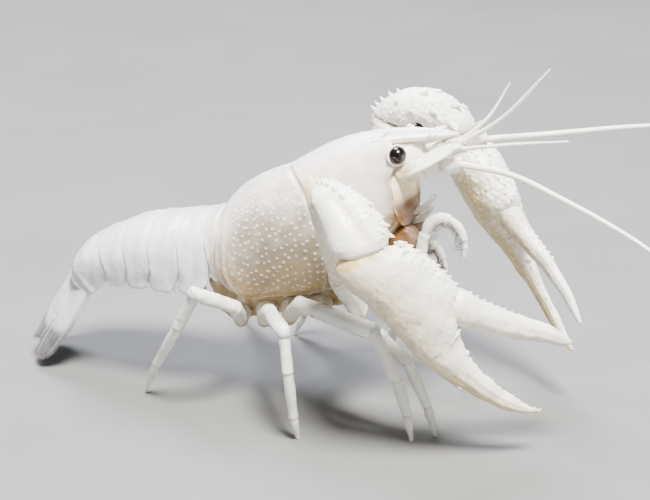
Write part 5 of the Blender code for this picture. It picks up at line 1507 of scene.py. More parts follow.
LEG_POSES = {
    "right": {
        2: LegPose(13.6, (3.8, 8.6, 19.9), (14.5, 11.7, 18.8), (19.2, 12.3, 15.2), (22.4, 10.6, 6.4),
                   (23.6, 9.2, 0.0)),
        3: LegPose(8.3, (-1.0, 10.3, 22.4), (14.0, 15.2, 21.6), (17.9, 14.4, 12.6), (19.6, 13.2, 5.6),
                   (20.3, 12.4, 0.0)),
        4: LegPose(3.3, (-7.0, 10.2, 20.0), (-0.9, 19.0, 20.5), (0.1, 20.0, 13.6), (0.7, 18.9, 4.6),
                   (1.2, 18.0, 0.0)),
        5: LegPose(-2.0, (-13.3, 10.8, 20.2), (-18.6, 16.5, 24.3), (-22.4, 15.0, 16.7),
                   (-28.2, 12.0, 7.2), (-31.6, 10.0, 0.0)),
    },
    "left": {
        2: LegPose(13.6, (3.8, 8.6, 19.9), (15.6, 13.0, 18.6), (20.0, 13.0, 13.6), (22.3, 11.2, 5.6),
                   (22.9, 10.2, 0.0)),
        3: LegPose(8.3, (-1.0, 10.3, 22.4), (9.6, 17.6, 20.4), (9.4, 20.2, 12.4), (6.9, 21.6, 5.0),
                   (5.4, 22.2, 0.0)),
        4: LegPose(3.3, (-7.0, 10.2, 20.0), (-4.4, 19.4, 20.2), (-7.4, 21.4, 14.2), (-12.0, 22.4, 5.0),
                   (-14.2, 22.8, 0.0)),
        5: LegPose(-2.0, (-14.7, 10.4, 20.4), (-18.6, 17.6, 23.4), (-20.4, 20.6, 16.4),
                   (-23.6, 23.4, 6.4), (-25.6, 25.0, 0.0)),
    },
}


@dataclass
class WalkingLegs(Assembly):
    """The eight walking legs, with pincers on the second and third pair."""
    thorax: Thorax
    coxa: tuple = (2.3, 2.1, 1.8)
    ischium: tuple = (1.6, 1.5, 1.45)
    merus: tuple = (1.35, 1.45, 1.4)
    carpus: tuple = (1.15, 1.1, 1.15)
    propodus: tuple = (1.05, 1.08, 0.92)
    dactyl: tuple = (0.82, 0.66, 0.36)
    flatness: float = 0.88

    def build(self) -> None:
        """Every leg, and one piece for all their bristles."""
        fringe = self.piece("leg_bristles", FRINGE, Slot.LIMB)
        for name, side in SIDES.items():
            for number, pose in LEG_POSES[name].items():
                self.build_leg(name, side, number, pose, fringe)

    def build_leg(self, name: str, side: float, number: int, pose: LegPose, fringe: Piece) -> None:
        """Upper and lower half of one leg.

        Args:
            name: right or left.
            side: -1 for the right side, 1 for the left.
            number: second to fifth pair.
            pose: its joints.
            fringe: piece of the bristles.
        """
        seed = 300 + 10 * number + int(side)
        normal = self.thorax.hip_normal(side)
        ischium, knee, ankle, toe, foot = (outward(p, side) for p in
                                           (pose.ischium, pose.knee, pose.ankle, pose.toe, pose.foot))
        plane = unit(unit(knee - ischium) + unit(ankle - knee))
        upper = self.piece(f"leg_{number}_{name}_upper_shell", LEG_SHELL, Slot.LIMB,
                           f"leg_{number}_{name}_upper")
        grid, neck, share = limb([self.thorax.hip(pose.hip, side),
                                  self.thorax.hip(pose.hip, side, 1.4 if number == 5 else 2.3),
                                  ischium, knee],
                                 [self.coxa, self.ischium, self.merus], normal, plane, 40, self.flatness,
                                 0.24, 0.3)
        lift = 0.05 * ripple(grid, 0.9, seed) + 0.02 * ripple(grid, 0.4, seed + 1)
        lift += 0.1 * bell(share, 0.95, 0.03)[:, None] * (np.arange(len(share)) > len(share) * 0.7)[:, None]
        root = step(np.arange(len(share)), len(share) * 0.35, 0)[:, None]
        core = 0.35 * (1 - np.abs(2 * share - 1) ** 3)[:, None] * (1 - root)
        # Painted shade: the root, under the body, darker; its ochre is the coxa's own colour.
        upper.grid(raised(grid, lift), 0.15 * (1 - root), 0.55 * root + 0.6 * neck[:, None],
                   core + 0.25 * root)
        lower = self.piece(f"leg_{number}_{name}_lower_shell", LEG_SHELL, Slot.LIMB,
                           f"leg_{number}_{name}_lower")
        grid, neck, share = limb([knee - plane * 0.5, ankle, toe, foot],
                                 [self.carpus, self.propodus, self.dactyl], plane,
                                 np.array([0.0, 0.0, -1.0]), 36, self.flatness, 0.2, -0.3)
        normals = normals_of(grid)
        grid = grid + normals * (0.04 * ripple(grid, 0.8, seed + 2))[..., None]
        grid[..., 2] = np.maximum(grid[..., 2], 0.0)
        tip = step(np.arange(len(share)), len(share) * 0.93, len(share))[:, None]
        core = 0.32 * (1 - np.abs(2 * share - 1) ** 3)[:, None]
        lower.grid(grid, 0.2, 0.65 * neck[:, None] + 0.5 * tip, core)
        bend = unit(np.cross(unit(knee - ischium), unit(ankle - knee)))
        for tilt in (np.cross(bend, plane), bend):
            lower.knob(knee, tilt, 1.22, 1.0)
        for joint, radius in ((knee, 1.25), (ankle, 1.02), (toe, 0.75)):
            for way in (bend, -bend):
                lower.knob(joint + way * radius * 0.8 * self.flatness, way, 0.36 * radius)
        if number < 4:
            spread = unit(np.cross(toe - ankle, foot - toe) + np.array([0.35, 0.0, 0.0]))
            start = ankle + (toe - ankle) * 0.82
            end = foot + (toe - foot) * 0.14 + spread * 0.95
            points = route([start, (start + end) / 2 + spread * 0.45, end], 40)
            grid = tube(points, taper(40, (0.66, 0.54, 0.3, 0.12), (0, 0.5, 0.9, 1)), 24)
            lower.grid(grid, 0.25, 0.5 * step(np.arange(40), 34, 40)[:, None], 0.3)
        rng = np.random.default_rng(seed + 3)
        rows, cols = normals.shape[:2]
        along = unit(foot - ankle)
        for _ in range(150 if number < 4 else 110):
            row = int(rows * (0.42 + 0.56 * rng.random() ** 0.7))
            col = int(rng.integers(cols))
            way = normals[row, col]
            length = rng.uniform(0.35, 0.8) * (1.0 if row > rows * 0.7 else 0.7)
            fringe.bristle(lower.points[0][row * cols + col] - way * 0.05,
                           way * 0.6 + along, way * -0.1, length, 0.035,
                           (0.05 + 0.9 * row / rows, 0.05 + 0.9 * col / cols))


WHIP_ROUTES = {
    "right": ((25.6, 5.2, 49.5), (34.7, 7.0, 49.3), (43.8, 10.0, 47.3), (59.7, 16.0, 42.5),
              (74.0, 24.5, 36.2), (85.5, 35.5, 28.6), (92.5, 48.0, 20.0)),
    "left": ((27.4, 4.6, 51.0), (35.2, 7.2, 51.7), (53.7, 16.0, 52.7), (70.0, 26.0, 51.3),
             (83.0, 38.0, 47.0), (91.5, 51.5, 40.0)),
}
SMALL_TIPS = {
    "right": ((43.4, 3.2, 54.8), (37.7, 0.8, 64.2)),
    "left": ((38.4, 3.4, 64.8), (31.4, 4.6, 61.4)),
}


@dataclass
class Feelers(Assembly):
    """Long ringed feelers on spiny bases with scales, and the small forked feelers."""
    head: Head
    peduncle_root: tuple = (4.3, 46.1)
    peduncle_middle: tuple = (19.8, 5.1, 48.2)
    peduncle_radii: tuple = (1.65, 1.7, 1.6, 1.45, 1.25)
    lash_radii: tuple = (0.58, 0.42, 0.3, 0.25, 0.16)
    ring_pitch: float = 0.62
    whip_points: tuple = (408, 919)          # points of the inner length and of the whole whip
    scale_route: tuple = ((16.6, 5.2, 46.9), (20.6, 6.3, 50.2), (25.9, 6.2, 53.4))
    scale_widths: tuple = (1.2, 2.1, 2.6, 2.5, 1.9, 0.35)
    small_root: tuple = (1.5, 47.0)
    small_end: tuple = (46.6, 1.35, 0.6)
    small_radii: tuple = (1.05, 1.1, 0.95, 0.8)

    def face_point(self, out: float, up: float, side: float) -> Array:
        """Place on the head's front face."""
        forward = self.head.front - self.head.slope * max(0.0, out - self.head.front_half)
        return np.array([forward - 0.6, side * out, up])

    def build(self) -> None:
        """Both sides, and one piece for the scales' bristles."""
        fringe = self.piece("scale_bristles", FRINGE, Slot.FEELER)
        for name, side in SIDES.items():
            self.build_long(name, side, fringe)
            self.build_small(name, side)

    def lash(self, piece: Piece, points: Array, radii: Array, sides: int = 14) -> None:
        """Ringed whip along a dense route.

        Args:
            piece: piece that it belongs to.
            points: the route.
            radii: radius at each point.
            sides: points in each ring.
        """
        at = lengths(points)
        phase = at / self.ring_pitch % 1
        wave = 1 + 0.09 * np.sin(np.pi * phase) ** 0.6 - 0.05
        grid = tube(points, radii * wave, sides)
        pale = 0.5 * np.sin(np.pi * phase) + 0.1
        warm = 0.25 * (1 - np.sin(np.pi * phase)) + 0.2 * step(at, 12, 0)
        piece.grid(grid, pale[:, None], warm[:, None], 0.12)

    def build_long(self, name: str, side: float, fringe: Piece) -> None:
        """Three-ringed base with its scale, and the long whip in two lengths.

        Args:
            name: right or left.
            side: -1 for the right side, 1 for the left.
            fringe: piece of the bristles.
        """
        split, count = self.whip_points
        points = route([outward(p, side) for p in WHIP_ROUTES[name]], count)
        radii = taper(len(points), self.lash_radii)
        for part, chosen in (("inner", slice(0, split + 1)), ("outer", slice(split, len(points)))):
            piece = self.piece(f"antenna_{name}_{part}_whip", FEELER_SHELL, Slot.FEELER,
                               f"antenna_{name}_{part}")
            self.lash(piece, points[chosen], radii[chosen])
        base = self.piece(f"antenna_{name}_base_shell", FEELER_SHELL, Slot.FEELER,
                          f"antenna_{name}_base")
        first = unit(points[6] - points[0])
        line = route([self.face_point(*self.peduncle_root, side), outward(self.peduncle_middle, side),
                      points[0] + first * 0.3], 110)
        radii = taper(110, self.peduncle_radii)
        at = lengths(line)
        joints = [at[-1] * 0.42, at[-1] * 0.7]
        grid = tube(line, radii * sockets(at, joints), 56, 1.0, first)
        rim = necks(at, joints, -0.3, 0.25)
        neck = necks(at, joints, 0.25, 0.3)
        grid = raised(grid, 0.05 * ripple(grid, 0.9, 401))
        root = step(at, 6.5, 1.0)
        base.grid(grid, 0.2 * (1 - root[:, None]) + 0.5 * rim[:, None],
                  0.15 + (0.6 * neck + 0.7 * root)[:, None], 0.15)
        for joint, out in ((joints[0], 1.0), (joints[1], 0.8)):
            k = int(np.searchsorted(at, joint)) - 3
            way = unit(np.array([0.25, side, -0.25]))
            base.spine(line[k] + way * radii[k] * 0.85, way * 0.6 + first, 0.36, 1.1 * out)
        self.build_scale(base, side, fringe)

    def build_scale(self, base: Piece, side: float, fringe: Piece) -> None:
        """Pointed scale: thick outer edge with a spine, thin blade with a fringe inside.

        Args:
            base: piece of the feeler's base.
            side: -1 for the right side, 1 for the left.
            fringe: piece of the bristles.
        """
        count = 70
        line = route([outward(p, side) for p in self.scale_route], count)
        along = unit(line[-1] - line[0])
        across = np.array([0.0, side, -0.35])
        across = unit(across - along * (across @ along))
        up = np.cross(along, across) * side
        share = np.linspace(0, 1, count)
        half = curve(np.linspace(0, 1, 6), self.scale_widths, share)
        half = half * np.sqrt(np.clip((1.02 - share) / 0.1, 0, 1))
        turn = 2 * np.pi * np.arange(48) / 48
        out, lift = power(np.cos(turn), 0.8), power(np.sin(turn), 0.8)
        thick = np.interp(out, (-1, -0.3, 0.6, 0.85, 1.0), (0.14, 0.24, 0.36, 0.5, 0.44))
        grid = (line[:, None] + across * (half[:, None] * out)[..., None]
                + up * (thick * lift)[None, :, None] * np.clip(half, 0.2, 1)[:, None, None])
        base.grid(grid, 0.3 + 0.5 * step(out, 0.6, 0.9), 0.12, 0.25 * step(out, 0.5, -0.5))
        base.spine(line[-8] + across * half[-8] * 0.8, along, 0.34, 1.7)
        rng = np.random.default_rng(420 + int(side))
        for k in range(90):
            t = 0.22 + 0.76 * k / 90
            row = int(t * count)
            fringe.bristle(line[row] - across * half[row] * 0.96, -across + along * 0.7,
                           along * 0.25, rng.uniform(0.6, 1.0), 0.03,
                           (0.03 + 0.9 * t, 0.2 if side > 0 else 0.7))

    def build_small(self, name: str, side: float) -> None:
        """Small feeler: jointed base and two short whips.

        Args:
            name: right or left.
            side: -1 for the right side, 1 for the left.
        """
        piece = self.piece(f"antennule_{name}_shell", FEELER_SHELL, Slot.FEELER, f"antennule_{name}")
        root, end = self.face_point(*self.small_root, side), body(*self.small_end, side)
        line = root + (end - root) * np.linspace(0, 1, 80)[:, None]
        radii = taper(80, self.small_radii)
        at = lengths(line)
        joints = [at[-1] * 0.5, at[-1] * 0.78]
        grid = tube(line, radii * sockets(at, joints), 40)
        neck = necks(at, joints, 0.25, 0.3)
        piece.grid(grid, 0.3, 0.1 + 0.5 * neck[:, None], 0.1)
        for k, tip in enumerate(SMALL_TIPS[name]):
            tip = outward(tip, side)
            start = end - unit(end - root) * 0.8 + body_direction(0, 0, 1) * (0.42 if k else -0.36)
            middle = (start + tip) / 2 + np.array([0.3, 0.0, 0.2 if side < 0 and not k else -1.2])
            points = route([start, middle, tip], 260)
            self.lash(piece, points, taper(260, (0.36, 0.3, 0.14), (0, 0.5, 1)), 10)


MAXILLIPED_ROUTES = {
    "right": ((15.2, 3.2, 28.0), (18.5, 3.8, 31.2), (19.4, 4.0, 35.2), (20.7, 4.1, 38.2),
              (22.6, 4.1, 39.2), (24.7, 4.0, 38.4), (26.3, 3.8, 36.0), (26.6, 3.6, 33.6),
              (26.2, 3.4, 31.4)),
    "left": ((14.4, 2.7, 28.0), (16.9, 2.6, 30.4), (18.8, 2.5, 31.4), (20.2, 2.4, 30.6),
             (21.3, 2.2, 28.8), (22.0, 2.0, 26.8)),
}


@dataclass
class Mouthparts(Assembly):
    """Third maxillipeds: two leg-like mouthparts with a comb of bristles."""
    radii: tuple = (1.45, 1.3, 1.05, 0.95, 0.75, 0.3)
    joints: tuple = (0.34, 0.52, 0.72, 0.87)
    points: int = 240
    bristles: int = 230

    def build(self) -> None:
        """Both mouthparts, and the comb inside each arch."""
        comb = self.piece("mouth_bristles", DARK_FRINGE, Slot.LIMB)
        thorax, count = Thorax(), self.points
        for name, side in SIDES.items():
            piece = self.piece(f"maxilliped_{name}_shell", LEG_SHELL, Slot.LIMB, f"maxilliped_{name}")
            start = body(thorax.end - 0.3, 2.6, float(thorax.edge_at(thorax.end)) - 1.2, side)
            line = route([start] + [outward(p, side) for p in MAXILLIPED_ROUTES[name]], count)
            at = lengths(line)
            radii = taper(count, self.radii)
            ends = [at[-1] * j for j in self.joints]
            grid = tube(line, radii * sockets(at, ends, 0.2, 0.25), 44, 0.82)
            neck = necks(at, ends, 0.2, 0.3)
            # Painted shade: the far mouthpart darker and less pale than the near one.
            far_shade = 0.1 if name == "right" else 0.5
            grid = raised(grid, 0.04 * ripple(grid, 0.8, 501))
            piece.grid(grid, 0.5 - far_shade / 2, 0.5 * neck[:, None], far_shade)
            centre = line[int(count * 0.45):].mean(axis=0) - np.array([0, 0, 2.0])
            rng = np.random.default_rng(510 + int(side))
            for _ in range(self.bristles):
                row = int(count * (0.4 + 0.58 * rng.random()))
                inward = unit(centre - line[row])
                way = inward + np.array([0, rng.uniform(-0.35, 0.35), 0])
                tangent = unit(line[min(row + 3, count - 1)] - line[row - 3])
                comb.bristle(line[row] + inward * radii[row] * 0.85, way + tangent * 0.35,
                             tangent * 0.2, rng.uniform(1.0, 2.3), 0.035,
                             (0.03 + 0.93 * row / count, 0.25 if side > 0 else 0.75))


@dataclass(frozen=True)
class Ring:
    """One ring of the abdomen."""
    length: float
    heading: float
    half_width: float
    depth: float
    swimmeret: float


RINGS = (Ring(3.6, 18.0, 8.5, 11.0, 0.0), Ring(7.0, 12.0, 9.3, 13.0, 5.0), Ring(6.5, 13.5, 9.3, 12.0, 5.2),
         Ring(6.2, 24.0, 8.8, 10.7, 4.8), Ring(6.0, 30.5, 8.0, 9.2, 4.2), Ring(6.8, 53.0, 6.9, 7.6, 0.0))


def heading_axes(angle: float) -> tuple[Array, Array]:
    """Directions toward the tail and away from the belly for a heading in degrees."""
    turn = math.radians(angle)
    return (np.array([-math.cos(turn), 0.0, -math.sin(turn)]),
            np.array([-math.sin(turn), 0.0, math.cos(turn)]))


@dataclass
class Abdomen(Assembly):
    """Six overlapping rings with side plates, and the swimmerets below them."""
    notch: float = 0.29
    thickness: float = 0.9
    belly_rise: float = 3.6
    last_belly_rise: float = 1.0
    front_step: float = 0.24
    fan_heading: float = 58.5
    lead: tuple = (0.0, 1.2, 3.2, 3.8, 4.4, 4.6, 0.0)   # how far ring edges run forward on the back

    def joints(self) -> list:
        """Back point and plane heading at each end of each ring."""
        headings = [BODY_PITCH] + [r.heading for r in RINGS] + [self.fan_heading]
        point = body(0, 0, 0)
        found = [(point, BODY_PITCH)]
        for k, part in enumerate(RINGS):
            point = point + heading_axes(part.heading)[0] * part.length
            found.append((point, (headings[k + 1] + headings[k + 2]) / 2))
        return found

    def section(self, half: float, depth: float, full: float, inset: float, rise: float) -> tuple:
        """Arched section of a ring.

        Args:
            half: half width.
            depth: height of its side plates.
            full: height of the whole ring.
            inset: how far it lies inside the ring's surface.
            rise: height of the belly above the plates' tips.

        Returns:
            Outward and height of each point, and whether it is on the outer face.
        """
        belly, waist = full - rise, 0.56 * full
        turn = np.linspace(0, np.pi / 2, 46)
        outer = np.stack([(half - inset) * np.cos(turn) ** (2 / 2.2),
                          -waist + (waist - inset) * np.sin(turn) ** (2 / 2.2)], axis=1)
        tip = max(depth, belly + 0.15)
        foot = np.array([(half - inset) * 0.95, -tip])
        wall = foot + (outer[0] - foot) * np.linspace(0, 1, 18, False)[:, None] ** 0.9
        wall[:, 0] += 0.18 * np.sin(np.linspace(0, np.pi, 18))
        right = np.concatenate([wall, outer])
        for _ in range(16):
            right[1:-1] = (right[:-2] + 2 * right[1:-1] + right[2:]) / 4
        inner = np.array([((half - inset) * 0.95 - self.thickness * 0.75, -tip),
                          (half - inset - self.thickness * 1.6, -belly), (half * 0.4, -belly + 0.3)])
        at = lengths(inner)
        inside = np.stack([np.interp(np.linspace(0, at[-1], 16), at, v) for v in inner.T], axis=1)
        left = right[:-1][::-1] * (-1, 1)
        loop = np.concatenate([right, left, inside * (-1, 1), inside[::-1]])
        return loop, np.arange(len(loop)) < len(right) + len(left)

    def build(self) -> None:
        """Every ring, then the swimmerets' fringe."""
        joints = self.joints()
        ends = np.cumsum([0] + [r.length for r in RINGS])
        middles = [(a + b) / 2 for a, b in zip(ends, ends[1:])]
        widths, depths = [r.half_width for r in RINGS], [r.depth for r in RINGS]
        backs, leans = [point for point, _ in joints], [lean for _, lean in joints]
        comb = self.piece("swimmeret_bristles", DARK_FRINGE, Slot.TAIL)
        for number, part in enumerate(RINGS, start=1):
            rise = self.belly_rise if number < len(RINGS) else self.last_belly_rise
            piece = self.piece(f"abdomen_{number}_shell", TAIL_SHELL, Slot.TAIL, f"abdomen_{number}")
            at = np.concatenate([np.linspace(-0.06, 0.9, 44), np.linspace(0.92, 1.05, 12)])
            if number == len(RINGS):
                at = np.linspace(-0.06, 1.0, 52)
            rows, low = [], []
            for s in at:
                distance = ends[number - 1] + part.length * s
                half, full = (np.interp(distance, middles, v) for v in (widths, depths))
                lobe = abs(2 * np.clip(s, 0, 1) - 1)
                depth = full * (1 - self.notch * lobe ** 6.0)
                inset = self.front_step * max(0.0, 1 - max(s, 0.0) / 0.3) + (0.15 if s < 0 else 0.0)
                inset += float(step(s, 0.72, 0.97)) * (-0.06 if number < len(RINGS) else 0.8)
                loop, outside = self.section(half, depth, full, inset, rise)
                share = -loop[:, 1] / full
                place = distance - np.interp(distance, ends, self.lead) * (1 - 0.75 * step(share, 0.5, 1.0))
                lean = np.radians(np.interp(place, ends, leans))
                wide = loop[:, 0] * np.interp(place, middles, widths) / half
                down = loop[:, 1] * np.interp(place, middles, depths) / full
                rows.append(curve(ends, backs, place)
                            + np.stack([-down * np.sin(lean), wide, down * np.cos(lean)], axis=1))
                low.append(step(share, 0.8, 1.0))
            rows, low = np.array(rows), np.array(low)
            along = at[:, None]
            lift = 0.05 * ripple(rows, 2.4, 600 + number) + 0.02 * ripple(rows, 0.8, 610 + number)
            lift += 0.1 * low - 0.035 * bell(along, 0.3, 0.04)
            shown = raised(rows, lift * outside)
            middle = shown[-1].mean(axis=0)
            inner_rear = middle + (shown[-1] - middle) * 0.965
            inner_more = inner_rear - heading_axes(part.heading)[0] * 0.5
            shown = np.concatenate([shown, [inner_rear], [inner_more]])
            along = np.append(at, [1.05, 1.05])[:, None]
            low = np.vstack([low, low[-1:], low[-1:]])
            band = 0.5 + 0.5 * np.sin(shown[..., 0] * 2.6 + 1.2 * ripple(shown, 3.0, 620))
            pale = 0.6 * low + 0.2 * bell(along, 1.0, 0.05)
            warm = 0.05 + 0.1 * step(along, 0.2, -0.05)
            if number == 1:
                warm = 0.35 + 0.35 * np.sin(along * 34.0 + 0.6 * ripple(shown, 4.0, 621))
            piece.grid(shown, pale, warm, 0.1 + 0.2 * band * (1 - low))
            if part.swimmeret:
                self.build_swimmerets(piece, comb, part, (backs[number - 1] + backs[number]) / 2, number)

    def build_swimmerets(self, piece: Piece, comb: Piece, part: Ring, middle: Array,
                         number: int) -> None:
        """Two-branched swimmerets with a dark fringe.

        Args:
            piece: piece of the ring.
            comb: piece of the bristles.
            part: the ring.
            middle: middle of the ring's back.
            number: the ring's number.
        """
        tail, up = heading_axes(part.heading)
        rng = np.random.default_rng(640 + number)
        for side in SIDES.values():
            for branch, (out, lean, share) in enumerate(((3.1, 0.10, 1.0), (4.5, 0.22, 0.85))):
                root = middle - up * (part.depth - self.belly_rise - 1.0) + np.array([0, side * out, 0])
                way = unit(-up + np.array([0.0, side * lean, 0.0]) - tail * 0.12)
                length = part.swimmeret * share + 1.0
                across = unit(np.cross(way, tail))
                thin = np.cross(way, across)
                shares = np.linspace(0, 1, 24)
                halves = curve((0, 0.35, 0.75, 1.0), (0.5, 0.62, 0.5, 0.14), shares)
                piece.grid(np.array([ring(root + way * length * t, across, thin, half, 0.3, 24)
                                     for t, half in zip(shares, halves)]), 0.1, 0.15, 0.6)
                for k in range(34):
                    t = 0.35 + 0.65 * rng.random()
                    edge = across * 0.5 * (1 - 0.6 * t) * (-1) ** k
                    comb.bristle(root + way * length * t + edge,
                                 way + edge * 1.2 + tail * rng.uniform(-0.2, 0.2), way * 0.1,
                                 rng.uniform(0.7, 1.5), 0.03,
                                 (0.1 + 0.13 * number + 0.1 * t, 0.1 + 0.4 * (side > 0) + 0.2 * branch))


@dataclass(frozen=True)
class Blade:
    """One plate of the tail fan, on an arc about the fan's axis."""
    layer: int
    start: float
    end: float
    length: float
    shares: tuple


BLADES = {
    "telson": (1.0, Blade(0, -33.0, 33.0, 17.4, (0.8, 1.0, 0.7))),
    "uropod_right_inner": (-1.0, Blade(1, 3.0, 72.0, 17.6, (0.95, 1.0, 0.66))),
    "uropod_right_outer": (-1.0, Blade(2, 8.0, 78.0, 16.2, (0.9, 1.0, 0.55))),
    "uropod_left_inner": (1.0, Blade(1, 4.0, 60.0, 17.6, (0.95, 1.0, 0.66))),
    "uropod_left_outer": (1.0, Blade(2, 5.0, 62.0, 16.2, (0.9, 1.0, 0.55))),
}


@dataclass
class TailFan(Assembly):
    """Five thin plates with ribs, a suture and a fringe."""
    heading: float = 58.5
    roll: float = 10.0
    thickness: float = 0.7
    axis_depth: float = 7.0
    arc: tuple = (8.4, 6.0)
    layer: float = 1.25
    spread: float = 0.24
    rounding: float = 0.11

    def build(self) -> None:
        """Every plate and its fringe."""
        fringe = self.piece("tail_fan_bristles", DARK_FRINGE, Slot.TAIL)
        for name, (side, blade) in BLADES.items():
            self.build_blade(name, side, blade, fringe)

    def build_blade(self, name: str, side: float, blade: Blade, fringe: Piece) -> None:
        """One plate: thick ribs, thin rim and a suture near the end of the outer ones.

        Args:
            name: name of the plate.
            side: -1 for the right side, 1 for the left.
            blade: its form.
            fringe: piece of the bristles.
        """
        piece = self.piece(f"{name}_plate", FAN_SHELL, Slot.TAIL, name)
        rear, rear_heading = Abdomen().joints()[-1]
        tail, up = heading_axes(self.heading)
        plane = heading_axes(rear_heading)[0]
        axis = rear - up * self.axis_depth
        roll = math.radians(self.roll)
        width, height = (size - self.layer * blade.layer for size in self.arc)
        middle, half = (blade.start + blade.end) / 2, (blade.end - blade.start) / 2
        rows, cols = 76, 46
        t = np.linspace(0, 1, rows)[:, None]
        s = np.linspace(-1, 1, cols)[None, :]
        share = curve((0.0, 0.5, 1.0), blade.shares, t[:, 0])[:, None]
        corner = np.clip(1 - ((t - 0.9) / 0.1) ** 2, 0, 1) ** 0.5 * (t > 0.9) + (t <= 0.9)
        s = s * (1 - 0.1 * (1 - corner))
        grow = 1 + self.spread * t
        drop = 1.05 * np.clip(np.abs(s) if not blade.layer else s, 0, 1) ** 3 * (blade.layer < 2)
        angle = np.radians(middle + half * share * s)
        out, rise = side * width * grow * np.sin(angle), height * np.cos(angle) + 0 * t
        normal = unit(np.stack([side * height * np.sin(angle), width * np.cos(angle)], axis=-1))
        length = blade.length * t * (1 - self.rounding * s * s * t * t)
        suture = bell(t, 0.66 if blade.layer else 0.52, 0.012) * (blade.layer != 1)
        rib = bell(s, 0.0, 0.05) + 0.7 * bell(np.abs(s), 0.94, 0.05)
        rays = 0.5 + 0.5 * np.cos(s * 24.0)
        beyond = step(t, 0.66, 0.72) if blade.layer == 2 else step(t + 0.1 * s, 0.55, 0.7)
        thick = self.thickness / 2 * (0.62 + 0.5 * rib) * (1 - 0.55 * step(t, 0.75, 1.0))
        thick = thick + 0.03 * rays * step(t, 0.3, 0.9) - 0.12 * suture
        rim = np.minimum((1 - np.abs(s)) / 0.06, 1.0) * np.minimum((1 - t) / 0.04, 1.0)
        thick = np.maximum(thick * (0.3 + 0.7 * np.clip(rim, 0, 1)), 0.05)
        faces = []
        for lift in (thick, -thick):
            y, z = out + normal[..., 0] * (lift - drop), rise + normal[..., 1] * (lift - drop)
            point = (axis + np.stack([0 * y, y * math.cos(roll) - z * math.sin(roll), 0 * y], axis=-1)
                     + (z * math.cos(roll) + y * math.sin(roll))[..., None] * up + length[..., None] * tail)
            start = ((point[0] - rear) @ plane + 1.6) / (tail @ plane)
            point[0] -= np.outer(start, tail)
            faces.append(point)
        grid = np.concatenate([faces[0], faces[1][:, ::-1]], axis=1)
        both = [np.concatenate([v + 0 * thick, (v + 0 * thick)[:, ::-1]], axis=1)
                for v in (0.7 * bell(np.abs(s), 1.0, 0.06) + 0.5 * bell(s, 0, 0.05) + 0.3 * suture,
                          0.08 + 0.25 * suture, 0.04 + 0.16 * rays * step(t, 0.2, 0.9) + 0.85 * beyond)]
        piece.grid(grid, *both)
        rng = np.random.default_rng(700 + int(blade.layer * 10 + side))
        edge = [(rows - 1, c) for c in range(cols)]
        edge += [(r, c) for r in range(int(rows * 0.35), rows)
                 for c in ((cols - 1,) if blade.layer else (0, cols - 1))]
        sheet = (faces[0] + faces[1]) / 2
        for row, col in edge:
            base = sheet[row, col]
            way = unit(unit(base - sheet[max(row - 6, 0), int(cols / 2)]) * 0.5 + tail)
            for _ in range(3):
                jitter = rng.normal(size=3) * 0.12
                fringe.bristle(base - way * 0.05 + jitter, way + jitter, tail * 0.1,
                               rng.uniform(0.5, 0.95), 0.03,
                               (0.02 + 0.9 * row / rows, 0.02 + 0.15 * list(BLADES).index(name)
                                + 0.1 * col / cols))


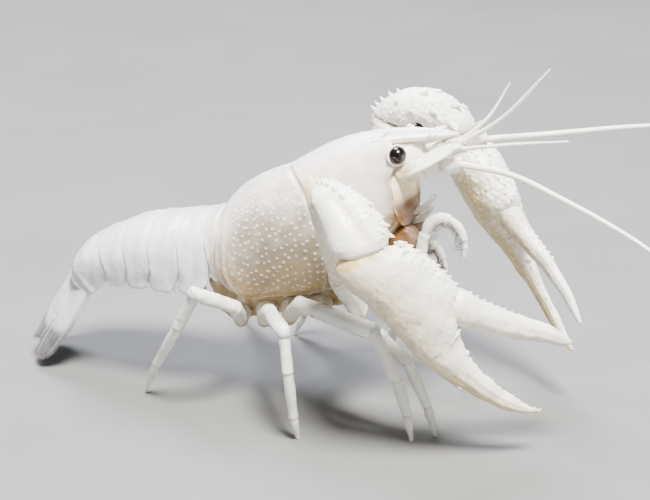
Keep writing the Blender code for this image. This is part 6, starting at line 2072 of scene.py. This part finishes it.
@dataclass(frozen=True)
class Studio:
    """Pale floor, soft lights and the camera of the picture."""
    azimuth: float = 19.0
    elevation: float = 22.0
    distance: float = 322.0
    target: tuple = (0.0, 0.0, 28.67)
    lens: float = 100.0

    def build(self, shift: Array) -> None:
        """Floor, lights and camera.

        Args:
            shift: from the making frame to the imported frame.
        """
        mesh = bpy.data.meshes.new("studio_floor")
        mesh.from_pydata([(x, y, 0.0) for x, y in ((-3, -3), (3, -3), (3, 3), (-3, 3))], [], [(0, 1, 2, 3)])
        floor = bpy.data.objects.new("studio_floor", mesh)
        bpy.context.collection.objects.link(floor)
        mesh.materials.append(material_of(FLOOR_PAINT))
        self.lights()
        azimuth, elevation = math.radians(self.azimuth), math.radians(self.elevation)
        back = Vector((math.sin(azimuth) * math.cos(elevation), -math.cos(azimuth) * math.cos(elevation),
                       math.sin(elevation)))
        camera = bpy.data.cameras.new("camera")
        camera.lens, camera.sensor_width = self.lens, 36.0
        camera.clip_start, camera.clip_end = 0.01, 20.0
        item = bpy.data.objects.new("camera", camera)
        bpy.context.collection.objects.link(item)
        item.location = (Vector(self.target) + Vector(shift) + back * self.distance) * MM
        item.rotation_mode = "QUATERNION"
        item.rotation_quaternion = (-back).to_track_quat("-Z", "Y")
        bpy.context.scene.camera = item

    def lights(self) -> None:
        """Large soft key above and in front, a rim from above and behind, and a low fill, in a pale room."""
        for name, place, size, energy, colour in (
                ("key", (0.14, -0.20, 0.62), 0.2, 23.0, "#FFFBF2"),
                ("top", (-0.22, 0.26, 0.56), 0.3, 10.5, "#F4F6FF"),
                ("fill", (0.50, -0.40, 0.22), 0.5, 1.0, "#FFF3E4")):
            light = bpy.data.lights.new(name, "AREA")
            light.shape, light.size, light.energy = "DISK", size, energy
            light.color = linear(colour)[:3]
            item = bpy.data.objects.new(name, light)
            bpy.context.collection.objects.link(item)
            item.location = place
            item.rotation_mode = "QUATERNION"
            item.rotation_quaternion = (Vector((-0.01, 0, 0.025)) - Vector(place)).to_track_quat("-Z", "Y")
        world = bpy.data.worlds.new("room")
        world.use_nodes = True
        background = world.node_tree.nodes["Background"]
        background.inputs["Color"].default_value = linear("#DDE1E6")
        background.inputs["Strength"].default_value = 0.3
        bpy.context.scene.world = world


def frame_shift() -> Array:
    """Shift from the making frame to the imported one, read off the fourth right foot."""
    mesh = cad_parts["leg_4_right_lower"].data
    corners = np.array([vertex.co for vertex in mesh.vertices]) / MM
    sole = corners[corners[:, 2] < 0.05]
    middle = (sole.min(axis=0) + sole.max(axis=0)) / 2
    return np.array([middle[0], middle[1], 0.0]) - outward(LEG_POSES["right"][4].foot, -1.0)


def main() -> None:
    """Load the frame, build and dress every assembly, and light the scene."""
    logging.basicConfig(level=logging.INFO, format="%(message)s")
    shift = frame_shift()
    LOG.info("shift %s", np.round(shift, 3))
    thorax, head = Thorax(), Head()
    for assembly in (Carapace(), head, thorax, ClawArm("right", thorax), ClawArm("left", thorax),
                     WalkingLegs(thorax), Feelers(head), Mouthparts(), Abdomen(), TailFan()):
        assembly.build()
        assembly.dress(shift)
    Studio().build(shift)


if __name__ == "__main__":
    main()
